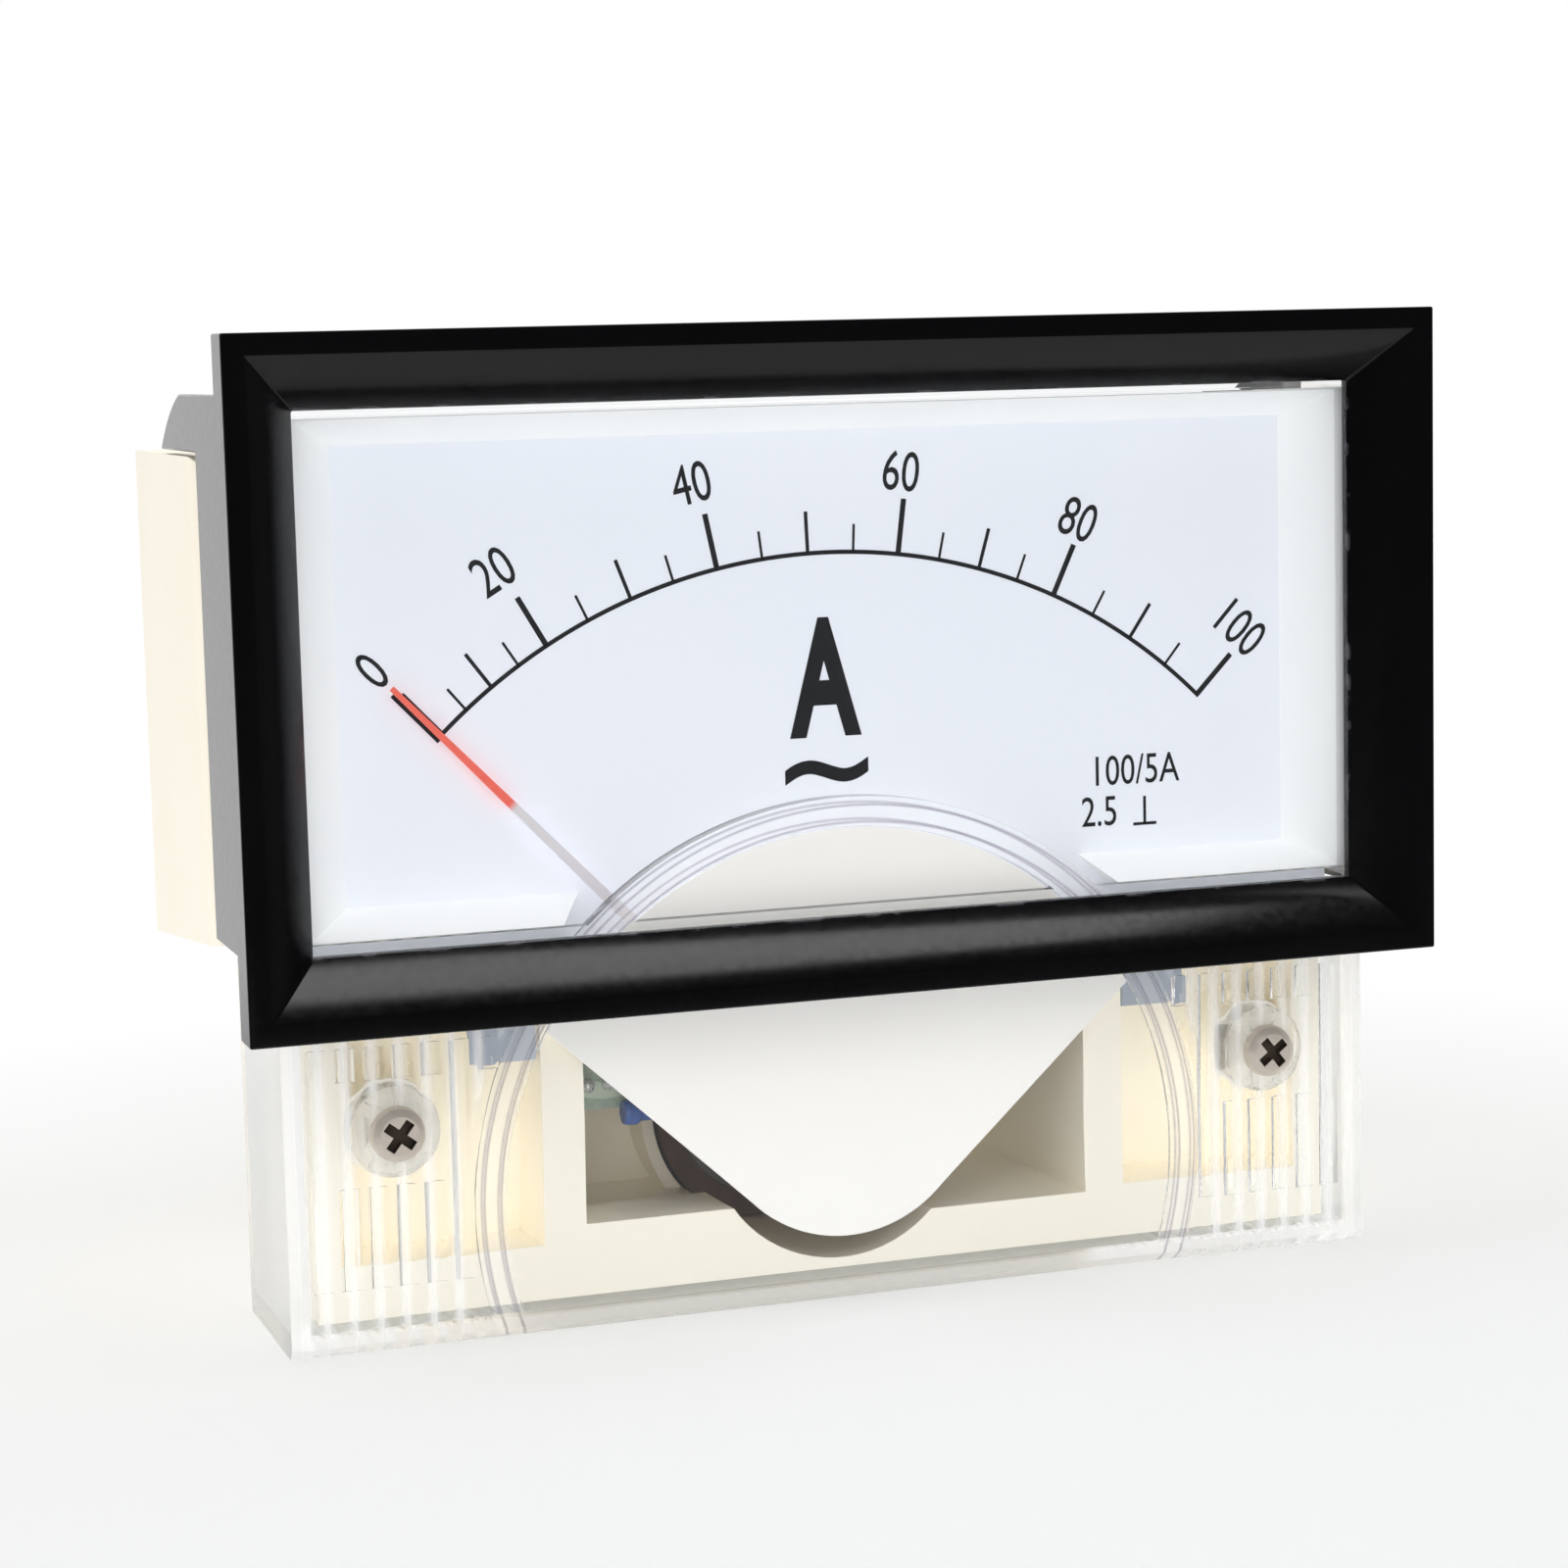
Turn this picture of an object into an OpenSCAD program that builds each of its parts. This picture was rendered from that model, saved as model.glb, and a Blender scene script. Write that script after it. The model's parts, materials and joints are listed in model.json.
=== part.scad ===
// Wide-view analog panel meter: moving-coil movement with a rectifier for alternating current.
// Frame: +X right as the dial is read, +Y into the panel, +Z up, millimetres.
// Origin: centre of the panel cut-out, on the plane where the bezel flange meets the panel.

/* [Bezel] */
// Width of the bezel flange
bezel_w = 80; // [76:0.5:90]
// Height of the bezel flange
bezel_h = 42.6; // [41:0.2:48]
// Thickness of the flange at its outer edge
bezel_t = 3; // [2.4:0.1:4]
// Width of the flat land round the front of the bezel
rim_w = 1.35; // [0.8:0.05:1.8]
// Width of the bevel between the land and the window
bevel_w = 3.35; // [2.6:0.05:3.8]
// Depth of the bevel from the front to the window lip
bevel_d = 3.3; // [2.6:0.1:3.6]
// Thickness of the lip at the window edge
lip_t = 0.7; // [0.5:0.05:1]
// How far the flange reaches past the sleeve at each side
side_land = 1.6; // [1.2:0.1:2.4]
// How far the flange reaches past the sleeve at top and bottom
top_land = 3.4; // [3:0.1:3.6]
// Thickness of the sleeve behind the flange
sleeve_t = 0.95; // [0.8:0.05:1.2]
// Length of the short collar that locates in the panel
collar_len = 2; // [1.2:0.1:2.2]
// Length of the side arms behind the flange
arm_len = 16.5; // [12:0.5:18]
// How far the arms stay below the sleeve's top and bottom
arm_inset = 0.3; // [0.2:0.05:0.4]
// Length of the ear's lower edge, behind the arm
ear_len = 13.3; // [8:0.1:16]
// Length of the ear's top edge, behind the arm
ear_top_len = 5.5; // [3:0.1:7.5]
// Height of the ear
ear_h = 3.7; // [2.5:0.1:3.8]
// How far the ear's back edge bulges
ear_bulge = 0.5; // [0.3:0.05:1.2]

/* [Clear cover] */
// Gap left for the panel between flange and cover
panel_gap = 2.4; // [2.3:0.1:3]
// Thickness of the window plate
window_t = 1.2; // [0.8:0.1:1.2]
// Thickness of the lower front plate
lower_t = 0.7; // [0.5:0.05:0.75]
// Thickness of the cover's side walls
cover_wall = 1.3; // [1:0.05:1.6]
// Thickness of the wall over the window
brow_t = 0.6; // [0.4:0.05:0.8]
// Thickness of the cover's bottom wall
cover_floor_t = 1.45; // [1:0.05:1.8]
// How far the cover reaches below the bezel
cover_drop = 21; // [20.5:0.1:24]
// Depth of the cover's side walls behind the panel plane
cover_depth = 15.7; // [13:0.1:16]
// Height of the centre of the arched rib
arch_z = -34.2; // [-35:0.1:-33.6]
// Inner radius of the arched rib
arch_r = 23.1; // [22.6:0.1:23.6]
// Width of the arched rib
arch_w = 2; // [1.4:0.1:2.4]
// Spacing of the vertical flutes
flute_pitch = 1.83; // [1.5:0.01:3]
// Depth of each flute
flute_d = 0.3; // [0.15:0.05:0.4]
// Distance of each cover screw from the cover's side
screw_inset = 7.15; // [6:0.05:8]
// Height of the cover screws
screw_z = -28.4; // [-31:0.1:-26]
// Shank radius of the cover screws
screw_r = 1.05; // [0.8:0.05:1.2]
// Head radius of the cover screws
screw_head_r = 1.75; // [1.5:0.05:2.2]
// Radius of the clear boss round each cover screw
boss_r = 2.9; // [2.6:0.1:3.4]

/* [Dial and shield] */
// Plane of the dial's face behind the panel plane
dial_y = 4.8; // [4.6:0.1:5.2]
// Thickness of the dial plate
dial_t = 0.5; // [0.3:0.05:0.8]
// Width of the white surround's slope, window edge to dial
reveal_w = 3; // [2:0.1:3.4]
// Radius of the cut-out in the dial round the pivot
dial_hole_r = 17; // [15:0.1:17.4]
// Distance from the centre line to the inner edge of a dial leg
leg_x = 20.4; // [20.2:0.1:21]
// Width of a dial leg
leg_w = 4.4; // [3:0.1:5]
// Height of the lower end of the dial legs
leg_z = -24.95; // [-26:0.05:-23]
// Plane of the shield's face behind the panel plane
shield_y = 3.2; // [3.2:0.05:3.25]
// Thickness of the shield
shield_t = 0.4; // [0.3:0.05:0.4]
// Radius of the rounded lower tip of the shield
shield_tip_r = 9.1; // [7:0.1:10]
// Height of the centre of the lower tip
shield_tip_z = -29.1; // [-30:0.1:-28]
// Height of the shield's side points
shield_side_z = -23; // [-24:0.1:-22]

/* [Pointer] */
// Height of the pointer's pivot
pivot_z = -31; // [-31.4:0.1:-30.6]
// Angle of the pointer at zero, from upright
rest_angle = -43.8; // [-44.5:0.1:-40]
// Length of the pointer from pivot to tip
pointer_len = 42; // [34:0.5:43]
// Width of the pointer at its tip
pointer_tip_w = 0.35; // [0.2:0.05:0.5]
// Width of the pointer at its bend
pointer_root_w = 0.9; // [0.5:0.05:1]
// Thickness of the pointer strip
pointer_t = 0.15; // [0.1:0.01:0.25]
// Plane of the pointer's blade behind the panel plane
pointer_y = 3.9; // [3.85:0.05:4]
// Distance from the pivot to the bend
crank_r = 12; // [11.5:0.1:12.2]
// Length of the balance arms
balance_r = 4.6; // [3.6:0.1:4.8]
// Radius of each balance weight
weight_r = 1; // [0.7:0.05:1.1]
// Length of the tail's balance weight
weight_len = 2.7; // [1:0.01:2.9]
// Travel allowed below zero, degrees
under_travel = 2; // [1:0.5:4]
// Travel from zero to the upper stop, degrees
over_travel = 90; // [86:0.5:92]

/* [Movement] */
// Front plane of the magnet behind the panel plane
magnet_y = 18; // [17.6:0.1:18.6]
// Length of the magnet along the axis
magnet_len = 9; // [7:0.1:9.6]
// Outer radius of the magnet ring
magnet_r = 8.7; // [8.4:0.1:9]
// Radius between the magnet and the pole pieces
pole_r = 7.2; // [7:0.05:7.4]
// Bore radius of the pole pieces
gap_r = 5.6; // [5.5:0.05:5.7]
// Radius of the soft-iron core
core_r = 3.5; // [3:0.05:3.55]
// Inner half-width of the coil, from the axis
coil_r = 4.2; // [4.15:0.05:4.3]
// Thickness of the coil's winding
coil_t = 0.6; // [0.4:0.05:0.6]
// Width of the coil's winding
coil_w = 2.6; // [1.8:0.1:2.6]
// Radius of the spindle
spindle_r = 0.4; // [0.3:0.02:0.45]
// Clearance of the spindle in its jewels
jewel_fit = 0.05; // [0.02:0.01:0.08]
// Front plane of the front bridge
bridge_y = 7.4; // [7.2:0.1:7.8]
// Thickness of both bridges
bridge_t = 1; // [0.8:0.1:1.2]
// Radius of the jewel screws
jewel_screw_r = 1.4; // [1.1:0.05:1.5]
// Outer radius of the hairsprings
spring_r = 4.2; // [3:0.1:4.3]
// Thickness of the hairspring strip
spring_t = 0.12; // [0.1:0.01:0.2]
// Turns in each hairspring
spring_turns = 3.5; // [2.5:1:4.5]

/* [Housing] */
// Depth of the housing behind the panel plane
housing_depth = 41; // [40.5:0.1:46]
// Thickness of the housing's walls
wall_t = 2.2; // [1.6:0.1:2.4]
// Distance from the centre line to the outside of the side blocks
block_x = 38.4; // [37.6:0.1:39]
// Height of the top of the side blocks
block_top = 13.6; // [12.5:0.1:13.8]
// Height of the bottom of the side blocks
block_bottom = -18.2; // [-19:0.1:-17.5]
// Radius of the side blocks' front corners
block_round = 3; // [1:0.1:4]
// Inner half-width of the movement's compartment
bay_x = 17.4; // [17.2:0.1:17.6]
// Thickness of the walls beside the movement
bay_wall = 2.8; // [2.4:0.1:2.9]
// Depth of the side pockets behind the panel plane
pocket_y = 10; // [7:0.1:11]
// Depth of the movement's compartment floor
bay_y = 22; // [21.4:0.1:22.6]
// Height of the ledge under the movement's compartment
ledge_z = -37.3; // [-38:0.1:-37]
// Rise of the ledge's left step
ledge_step = 1.4; // [0.6:0.1:1.8]

/* [Circuit and terminals] */
// Width of the rectifier board
board_w = 6.6; // [6:0.1:6.8]
// Height of the rectifier board
board_h = 13; // [11:0.1:13.4]
// Thickness of the rectifier board
board_t = 1.2; // [0.8:0.1:1.4]
// Width of the transformer's iron core
core_w = 24; // [22:0.2:26]
// Height of the transformer's iron core
core_h = 20; // [18:0.2:22]
// Thickness of the transformer's iron core
core_t = 8; // [6:0.2:9]
// Radius of the terminal studs
stud_r = 2; // [1.5:0.1:2.5]
// Distance from the centre line to each terminal stud
stud_x = 15; // [14:0.1:18]
// Height of the terminal studs
stud_z = 2; // [0:0.1:4]
// Length of each stud behind the housing
stud_len = 9; // [8:0.2:14]

/* [Hidden] */
$fn = 48;

// Clearances
sleeve_fit = 0.2;      // cover inside the bezel's sleeve
surround_fit = 0.1;    // surround inside the cover
tray_fit = 1;          // housing inside the cover
board_fit = 0.3;       // board beside the compartment wall
screw_fit = 0.1;       // shank in a clearance hole
thread_fit = 0.03;     // screws and press-in pins in their holes
iron_fit = 0.05;       // rings that nest in each other
panel_fit = 0.3;       // panel cut-out round the collar
through = 0.5;         // how far a cut runs past the face that it opens
far = 200;             // longer than the meter

// Bezel
front_y = -bezel_t;
lip_y = front_y + bevel_d;
lip_back = lip_y + lip_t;
window_x = bezel_w / 2 - rim_w - bevel_w;
window_z = bezel_h / 2 - rim_w - bevel_w;
sleeve_x = bezel_w / 2 - side_land;
sleeve_z = bezel_h / 2 - top_land;

// Cover
cover_x = sleeve_x - sleeve_t - sleeve_fit;
cover_top = sleeve_z - sleeve_t - sleeve_fit;
cover_bottom = -bezel_h / 2 - cover_drop;
cover_in_x = cover_x - cover_wall;
screw_x = cover_x - screw_inset;
cover_in_top = cover_top - brow_t;
cover_in_bottom = cover_bottom + cover_floor_t;
window_back = lip_back + window_t;
lower_back = panel_gap + lower_t;
arch_out = arch_r + arch_w;
arch_back = window_back + 1.2;
shoulder_z = -sleeve_z - 0.5;
boss_back = lower_back + 1.8;
flute_top = shoulder_z - 4.5;
screw_head_t = 1.1;
cover_screw_len = pocket_y - panel_gap + 1;
flute_bottom = cover_in_bottom + 2.6;

// Dial parts
dial_back = dial_y + dial_t;
surround_x = cover_in_x - surround_fit;
surround_z = cover_in_top - surround_fit;
dial_x = window_x - reveal_w;
dial_z = window_z - reveal_w + 0.75;
dial_bottom = -19.5;
shield_back = shield_y + shield_t;
shield_fit = 0.1;
foot_x = bay_x + bay_wall / 2;
foot_r = 1.1;

// Housing
tray_x = cover_in_x - tray_fit;
tray_top = cover_in_top - tray_fit;
tray_bottom = cover_in_bottom + 0.3;
tray_front = dial_y - 0.3;
tray_back = cover_depth + 0.3;
body_y = arm_len + 0.3;
body_top = tray_top - 0.4;
back_in = housing_depth - wall_t;
partition_z = -15.5;
partition_t = 2;
pocket_top = -20.4;
pocket_x = tray_x - wall_t;
pocket_bottom = ledge_z + 0.3;
well_r = magnet_r + 0.2;
collar_w = 0.8;
collar_y = magnet_y + 0.3;
magnet_back = magnet_y + magnet_len;
rear_well_r = magnet_r - 1;
rear_space = 4.6;
rear_bridge_y = magnet_back + rear_space;
rear_pocket_r = 5.5;
rear_pocket_back = rear_bridge_y + bridge_t + 3;
post_r = 3.1;
board_post_r = 1.8;
rib_t = 1.6;

// Movement
coil_front = magnet_y - 1.6;
coil_back = magnet_back + 1.6;
former_t = 0.25;
hub_y = magnet_y - 4.8;
hub_t = 1.1;
hub_r = 1.6;
arm_w = 0.9;
arm_t = 0.4;
spring_y = hub_y - 1.8;
spring_w = 0.4;
collar_r = spindle_r + 0.35;
spring_start = collar_r + spring_t / 2;
jewel_depth = 1.2;
front_screw_y = bridge_y - 1.5;
front_screw_back = bridge_y + bridge_t + 2;
rear_screw_front = rear_bridge_y - 0.9;
rear_screw_back = rear_bridge_y + bridge_t + 1.4;
end_shake = 0.1;
gap_half = 1;
strap_w = 2.6;
strap_t = 0.6;
post_at = (gap_r + pole_r) / 2;
bridge_post_r = 0.72;
bridge_screw_r = 0.4;
bridge_half = post_at + 1.2;
bridge_half_h = 1.5;
strip_w = 0.5;
strip_t = 0.25;
zero_arm_t = 0.6;
zero_arm_y = bridge_y - 0.3 - zero_arm_t;
zero_peg_r = 0.3;
zero_peg_at = spring_r + spring_t / 2 + zero_peg_r;
stop_r = 0.4;
stop_at = pole_r - 0.55;
stop_lead = asin((arm_w / 2 + stop_r) / stop_at);

// Circuit
board_x = -bay_x + board_fit + board_w / 2;
board_top = partition_z - 1;
board_y = 9;
board_screw_r = 0.6;
board_screw_len = 4;
board_bottom = board_top - board_h;
board_post_z = board_top - 2.9;
trafo_z = 0;
leg_core = 6;
trafo_screw_r = 0.7;
trafo_screw_len = 3.6;
yoke_t = 3;
trafo_x = 0;
bobbin_t = 0.8;
wind_t = 3;
wind_gap = 0.1;
tab_len = 2.9;
trafo_y = back_in - tab_len - bobbin_t - wind_t - wind_gap - core_t;
stud_shank_r = stud_r + 0.6;
stud_core_r = stud_r - 0.4;
stud_neck = 0.4;
stud_head_r = stud_r + 1.6;
stud_head_t = 1.8;
strap_plate_t = 0.8;
washer_t = 0.7;
nut_t = 2.8;
nut_af = 7;
nut_chamfer = 0.3;

// ---------- helpers ----------
// A solid with an X-Z outline, from y0 to y1
module along_y(y0, y1) {
    translate([0, y1, 0]) rotate([90, 0, 0]) linear_extrude(y1 - y0) children();
}

// A solid with a Y-Z outline, from x0 to x1
module along_x(x0, x1) {
    translate([x0, 0, 0]) rotate([90, 0, 90]) linear_extrude(x1 - x0) children();
}

// A round bar along Y
module bar(r, y0, y1, x = 0, z = 0) {
    translate([x, y1, z]) rotate([90, 0, 0]) cylinder(r = r, h = y1 - y0);
}

// A box given by its corners
module block(a, b) {
    translate(a) cube(b - a);
}

// A tapered opening: half-sizes a at y0 and b at y1
module taper(a, b, y0, y1) {
    intersection() {
        translate([0, 0, -far / 2]) linear_extrude(far)
            polygon([[-a.x, y0], [a.x, y0], [b.x, y1], [-b.x, y1]]);
        along_x(-far / 2, far / 2)
            polygon([[y0, -a.y], [y1, -b.y], [y1, b.y], [y0, a.y]]);
    }
}

// Children at the left and at the right
module both_sides() {
    children();
    mirror([1, 0, 0]) children();
}

// What lies outside a round corner at p, with s pointing into the solid
module corner_cut(p, r, s) {
    translate(p) difference() {
        translate([s.x > 0 ? -1 : -r, s.y > 0 ? -1 : -r]) square(r + 1);
        translate(r * s) circle(r = r);
    }
}

// Children turned about the pointer's pivot
module about_pivot(angle) {
    translate([0, 0, pivot_z]) rotate([0, angle, 0]) children();
}

// A straight piece of wire with round ends
module wire(p, q, r) {
    d = q - p;
    l = norm(d);
    translate(p) rotate([0, acos(d.z / l), atan2(d.y, d.x)]) cylinder(r = r, h = l, $fn = 16);
}

// A wire through a list of points
module wire_path(points, r) {
    for (i = [1:len(points) - 1]) wire(points[i - 1], points[i], r);
    for (i = [1:len(points) - 2]) translate(points[i]) sphere(r = 1.15 * r, $fn = 16);
}

// A cross recess in a screw head, open towards -Y
module cross_slot(size, depth, y) {
    for (a = [0, 90]) translate([0, y, 0]) rotate([0, a, 0])
        block([-size / 2, -through, -size / 7], [size / 2, depth, size / 7]);
}

// A pan-head screw along +Y, its head's seat at y = 0
module pan_screw(r, head_r, head_h, l) {
    difference() {
        union() {
            bar(r, -0.01, l);
            translate([0, -head_h, 0]) rotate([-90, 0, 0])
                rotate_extrude() polygon([[0, 0], [head_r * 0.72, 0], [head_r * 0.95, head_h * 0.35],
                    [head_r, head_h * 0.7], [head_r, head_h], [0, head_h]]);
        }
        cross_slot(head_r * 1.25, head_h * 0.6, -head_h);
    }
}

// ---------- bezel ----------
module bezel_frame() {
    color([0.05, 0.05, 0.06]) difference() {
        union() {
            block([-bezel_w / 2, front_y, -bezel_h / 2], [bezel_w / 2, 0, bezel_h / 2]);
            block([-sleeve_x, 0, -sleeve_z], [sleeve_x, collar_len, sleeve_z]);
            both_sides() side_arm();
        }
        // opening for the cover behind the lip
        block([-sleeve_x + sleeve_t, lip_back, -sleeve_z + sleeve_t],
            [sleeve_x - sleeve_t, far, sleeve_z - sleeve_t]);
        // bevelled window
        taper([bezel_w / 2 - rim_w, bezel_h / 2 - rim_w], [window_x, window_z], front_y, lip_y);
        block([-window_x, lip_y - through, -window_z], [window_x, lip_back + through, window_z]);
    }
}

// One arm behind the flange, with the ear that hooks over the housing's side block
module side_arm() {
    arm_z = sleeve_z - arm_inset;
    tip = [arm_len + ear_len, arm_z - ear_h];
    crown = [arm_len + ear_top_len, arm_z];
    half = norm(tip - crown) / 2;
    ear_r = (pow(half, 2) + pow(ear_bulge, 2)) / (2 * ear_bulge);
    back = [crown.y - tip.y, tip.x - crown.x] / (2 * half);
    centre = (tip + crown) / 2 - back * (ear_r - ear_bulge);
    along_x(sleeve_x - sleeve_t, sleeve_x) {
        translate([0, -arm_z]) square([arm_len, 2 * arm_z]);
        intersection() {
            translate([0, tip.y]) square([tip.x, ear_h]);
            translate(centre) circle(r = ear_r, $fn = 96);
        }
    }
}

// ---------- clear cover ----------
module clear_cover() {
    color([0.85, 0.9, 0.95, 0.35]) difference() {
        union() {
            // window box and lower box
            block([-cover_x, lip_back, -cover_top], [cover_x, cover_depth, cover_top]);
            difference() {
                block([-cover_x, panel_gap, cover_bottom], [cover_x, cover_depth, shoulder_z]);
                // eased front edge at the bottom
                translate([0, panel_gap, cover_bottom]) rotate([45, 0, 0])
                    cube([far, 0.9, 0.9], center = true);
            }
            block([-cover_in_x, panel_gap, shoulder_z - through], [cover_in_x, cover_depth, -cover_top]);
        }
        // hollow behind the window and behind the lower plate
        difference() {
            union() {
                block([-cover_in_x, window_back, -cover_top + brow_t],
                    [cover_in_x, cover_depth + through, cover_in_top]);
                block([-cover_in_x, lower_back, cover_in_bottom],
                    [cover_in_x, cover_depth + through, 0]);
            }
            arch_rib();
            both_sides() bar(boss_r, 0, boss_back, screw_x, screw_z);
            flutes();
        }
        both_sides() bar(screw_r + screw_fit, 0, cover_depth, screw_x, screw_z);
    }
}

// The arched rib on the inside of the cover, round the shield
module arch_rib() {
    intersection() {
        difference() {
            bar(arch_out, 0, arch_back, 0, arch_z, $fn = 96);
            bar(arch_r, -1, arch_back + 1, 0, arch_z, $fn = 96);
        }
        block([-far, 0, cover_in_bottom - 0.1], [far, arch_back, far]);
    }
}

// Shallow vertical ridges on the inside of the lower plate, outside the arch
module flutes() {
    count = floor((cover_in_x - 1 - 13) / flute_pitch);
    both_sides() for (i = [0:count]) {
        x = cover_in_x - 1 - i * flute_pitch;
        h = x < arch_out + 0.6 ? sqrt(pow(arch_out + 0.6, 2) - x * x) : 0;
        low = h > 0 ? arch_z + h : flute_bottom;
        near_boss = abs(x - screw_x) < boss_r + flute_pitch / 2;
        if (low < flute_top - 1) {
            if (near_boss) {
                ridge(x, flute_bottom, screw_z - boss_r - 0.5);
                ridge(x, screw_z + boss_r + 0.5, flute_top);
            } else {
                ridge(x, max(low, flute_bottom), flute_top);
            }
        }
    }
}

module ridge(x, z0, z1) {
    w = flute_pitch * 0.42;
    translate([x, lower_back, z0]) linear_extrude(z1 - z0)
        polygon([[-w, -0.1], [w, -0.1], [w * 0.45, flute_d], [-w * 0.45, flute_d]]);
}

module cover_screws() {
    color([0.62, 0.6, 0.57]) both_sides() translate([screw_x, panel_gap, screw_z])
        pan_screw(screw_r, screw_head_r, screw_head_t, cover_screw_len);
}

// ---------- dial ----------
module dial_surround() {
    color([0.97, 0.97, 0.96]) difference() {
        block([-surround_x, window_back, -surround_z], [surround_x, dial_y, surround_z]);
        taper([window_x - 0.1, window_z - 0.6], [dial_x, dial_z], window_back, dial_y);
        // room for the arched rib
        bar(arch_out + 1.2, 0, dial_y + through, 0, arch_z, $fn = 96);
    }
}

module dial_plate() {
    color([0.93, 0.945, 0.975]) along_y(dial_y, dial_back) difference() {
        union() {
            translate([-surround_x + 0.4, dial_bottom])
                square([2 * (surround_x - 0.4), surround_z - dial_bottom - 0.2]);
            for (s = [-1, 1]) translate([s * (leg_x + leg_w / 2) - leg_w / 2, leg_z])
                square([leg_w, dial_bottom - leg_z + 1]);
        }
        translate([0, pivot_z]) circle(r = dial_hole_r, $fn = 96);
    }
}

// Outline of the shield: a dome above, two straight flanks and a round tip below
module shield_outline() {
    dome_r = arch_r - shield_fit;
    side_x = sqrt(pow(dome_r, 2) - pow(shield_side_z - arch_z, 2)) - 0.05;
    dz = shield_side_z - shield_tip_z;
    a = atan2(dz, side_x) - acos(shield_tip_r / norm([side_x, dz]));
    touch = (shield_tip_r - 0.02) * [cos(a), sin(a)] + [0, shield_tip_z];
    intersection() {
        translate([0, arch_z]) circle(r = dome_r, $fn = 120);
        translate([-far / 2, shield_side_z]) square([far, far]);
    }
    polygon([[-side_x + 0.6, shield_side_z + 1], [-side_x, shield_side_z], [-touch.x, touch.y],
        [touch.x, touch.y], [side_x, shield_side_z], [side_x - 0.6, shield_side_z + 1]]);
    translate([0, shield_tip_z]) circle(r = shield_tip_r, $fn = 96);
}

module movement_shield() {
    color([0.98, 0.975, 0.965]) {
        along_y(shield_y, shield_back) shield_outline();
        both_sides() bar(foot_r, shield_back - 0.1, tray_front, foot_x, shield_side_z + 0.6);
    }
}

// ---------- housing ----------
module base_housing() {
    color([0.93, 0.89, 0.78]) difference() {
        union() {
            // front tray, inside the cover
            block([-tray_x, tray_front, tray_bottom], [tray_x, pocket_y + wall_t, partition_z]);
            block([-tray_x, dial_back, partition_z], [tray_x, tray_back, tray_top]);
            // upper body with the side blocks
            upper_body();
            // movement's compartment, which the meter stands on
            block([-bay_x - bay_wall, pocket_y, tray_bottom], [bay_x + bay_wall, tray_back, partition_z]);
            block([-bay_x - bay_wall, tray_back, cover_bottom],
                [bay_x + bay_wall, housing_depth, partition_z]);
        }
        dial_recess();
        difference() {
            union() {
                upper_cavity();
                side_pockets();
                movement_bay();
            }
            housing_posts();
        }
        back_recess();
        lead_notch();
        screw_holes();
    }
}

// Body behind the panel: side blocks with rounded front edges and sloping undersides
module upper_body() {
    intersection() {
        along_x(-block_x, block_x) side_outline();
        translate([0, 0, -far / 2]) linear_extrude(far) plan_outline();
    }
    block([-tray_x, tray_back - 1, block_bottom], [tray_x, housing_depth, body_top]);
}

module side_outline() {
    low_back = block_bottom - 2.4;
    difference() {
        polygon([[body_y, block_bottom], [housing_depth, low_back], [housing_depth, block_top],
            [body_y, block_top]]);
        corner_cut([body_y, block_top], block_round, [1, -1]);
    }
}

module plan_outline() {
    difference() {
        translate([-block_x, body_y]) square([2 * block_x, housing_depth - body_y]);
        for (s = [-1, 1]) corner_cut([s * block_x, body_y], block_round, [-s, 1]);
    }
}

// Flat seat for the dial, cut down from the tray's front
module dial_recess() {
    block([-far, -far, dial_bottom - 0.2], [far, dial_back, far]);
    both_sides() block([leg_x - 0.15, -far, leg_z - 0.2], [leg_x + leg_w + 0.15, dial_back, 0]);
}

module upper_cavity() {
    block([-pocket_x, -far, partition_z + partition_t], [pocket_x, back_in, tray_top - wall_t]);
    block([-block_x + wall_t, body_y + wall_t, partition_z + partition_t],
        [block_x - wall_t, back_in, block_top - wall_t]);
}

module side_pockets() {
    both_sides() block([bay_x + bay_wall, -far, pocket_bottom], [pocket_x, pocket_y, pocket_top]);
}

// Compartment of the movement: stepped floor, round well and the rear bridge's seat
module movement_bay() {
    difference() {
        block([-bay_x, -far, ledge_z], [bay_x, bay_y, partition_z]);
        block([-bay_x - 1, tray_front, ledge_z - 1], [-4, pocket_y, ledge_z + ledge_step]);
        bar(well_r + collar_w, collar_y, bay_y + 1, 0, pivot_z, $fn = 72);
    }
    bar(well_r, 0, magnet_back, 0, pivot_z, $fn = 72);
    bar(rear_well_r, magnet_back - 1, rear_bridge_y + bridge_t, 0, pivot_z, $fn = 72);
    bar(rear_pocket_r, magnet_back, rear_pocket_back, 0, pivot_z);
}

// Recess in the back, round the cup that holds the magnet
module back_recess() {
    difference() {
        block([-bay_x - bay_wall + wall_t, bay_y + wall_t, cover_bottom + wall_t],
            [bay_x + bay_wall - wall_t, far, partition_z - wall_t]);
        bar(well_r + 1.8, 0, far, 0, pivot_z, $fn = 72);
        for (a = [0, 60, 120]) about_pivot(a)
            block([-rib_t / 2, 0, -far], [rib_t / 2, far, far]);
    }
}

// Slot in the partition for the transformer's leads
module lead_notch() {
    block([board_x - 2.5, -far, partition_z - through], [board_x + 2.5, 14, partition_z + partition_t + through]);
}

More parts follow.
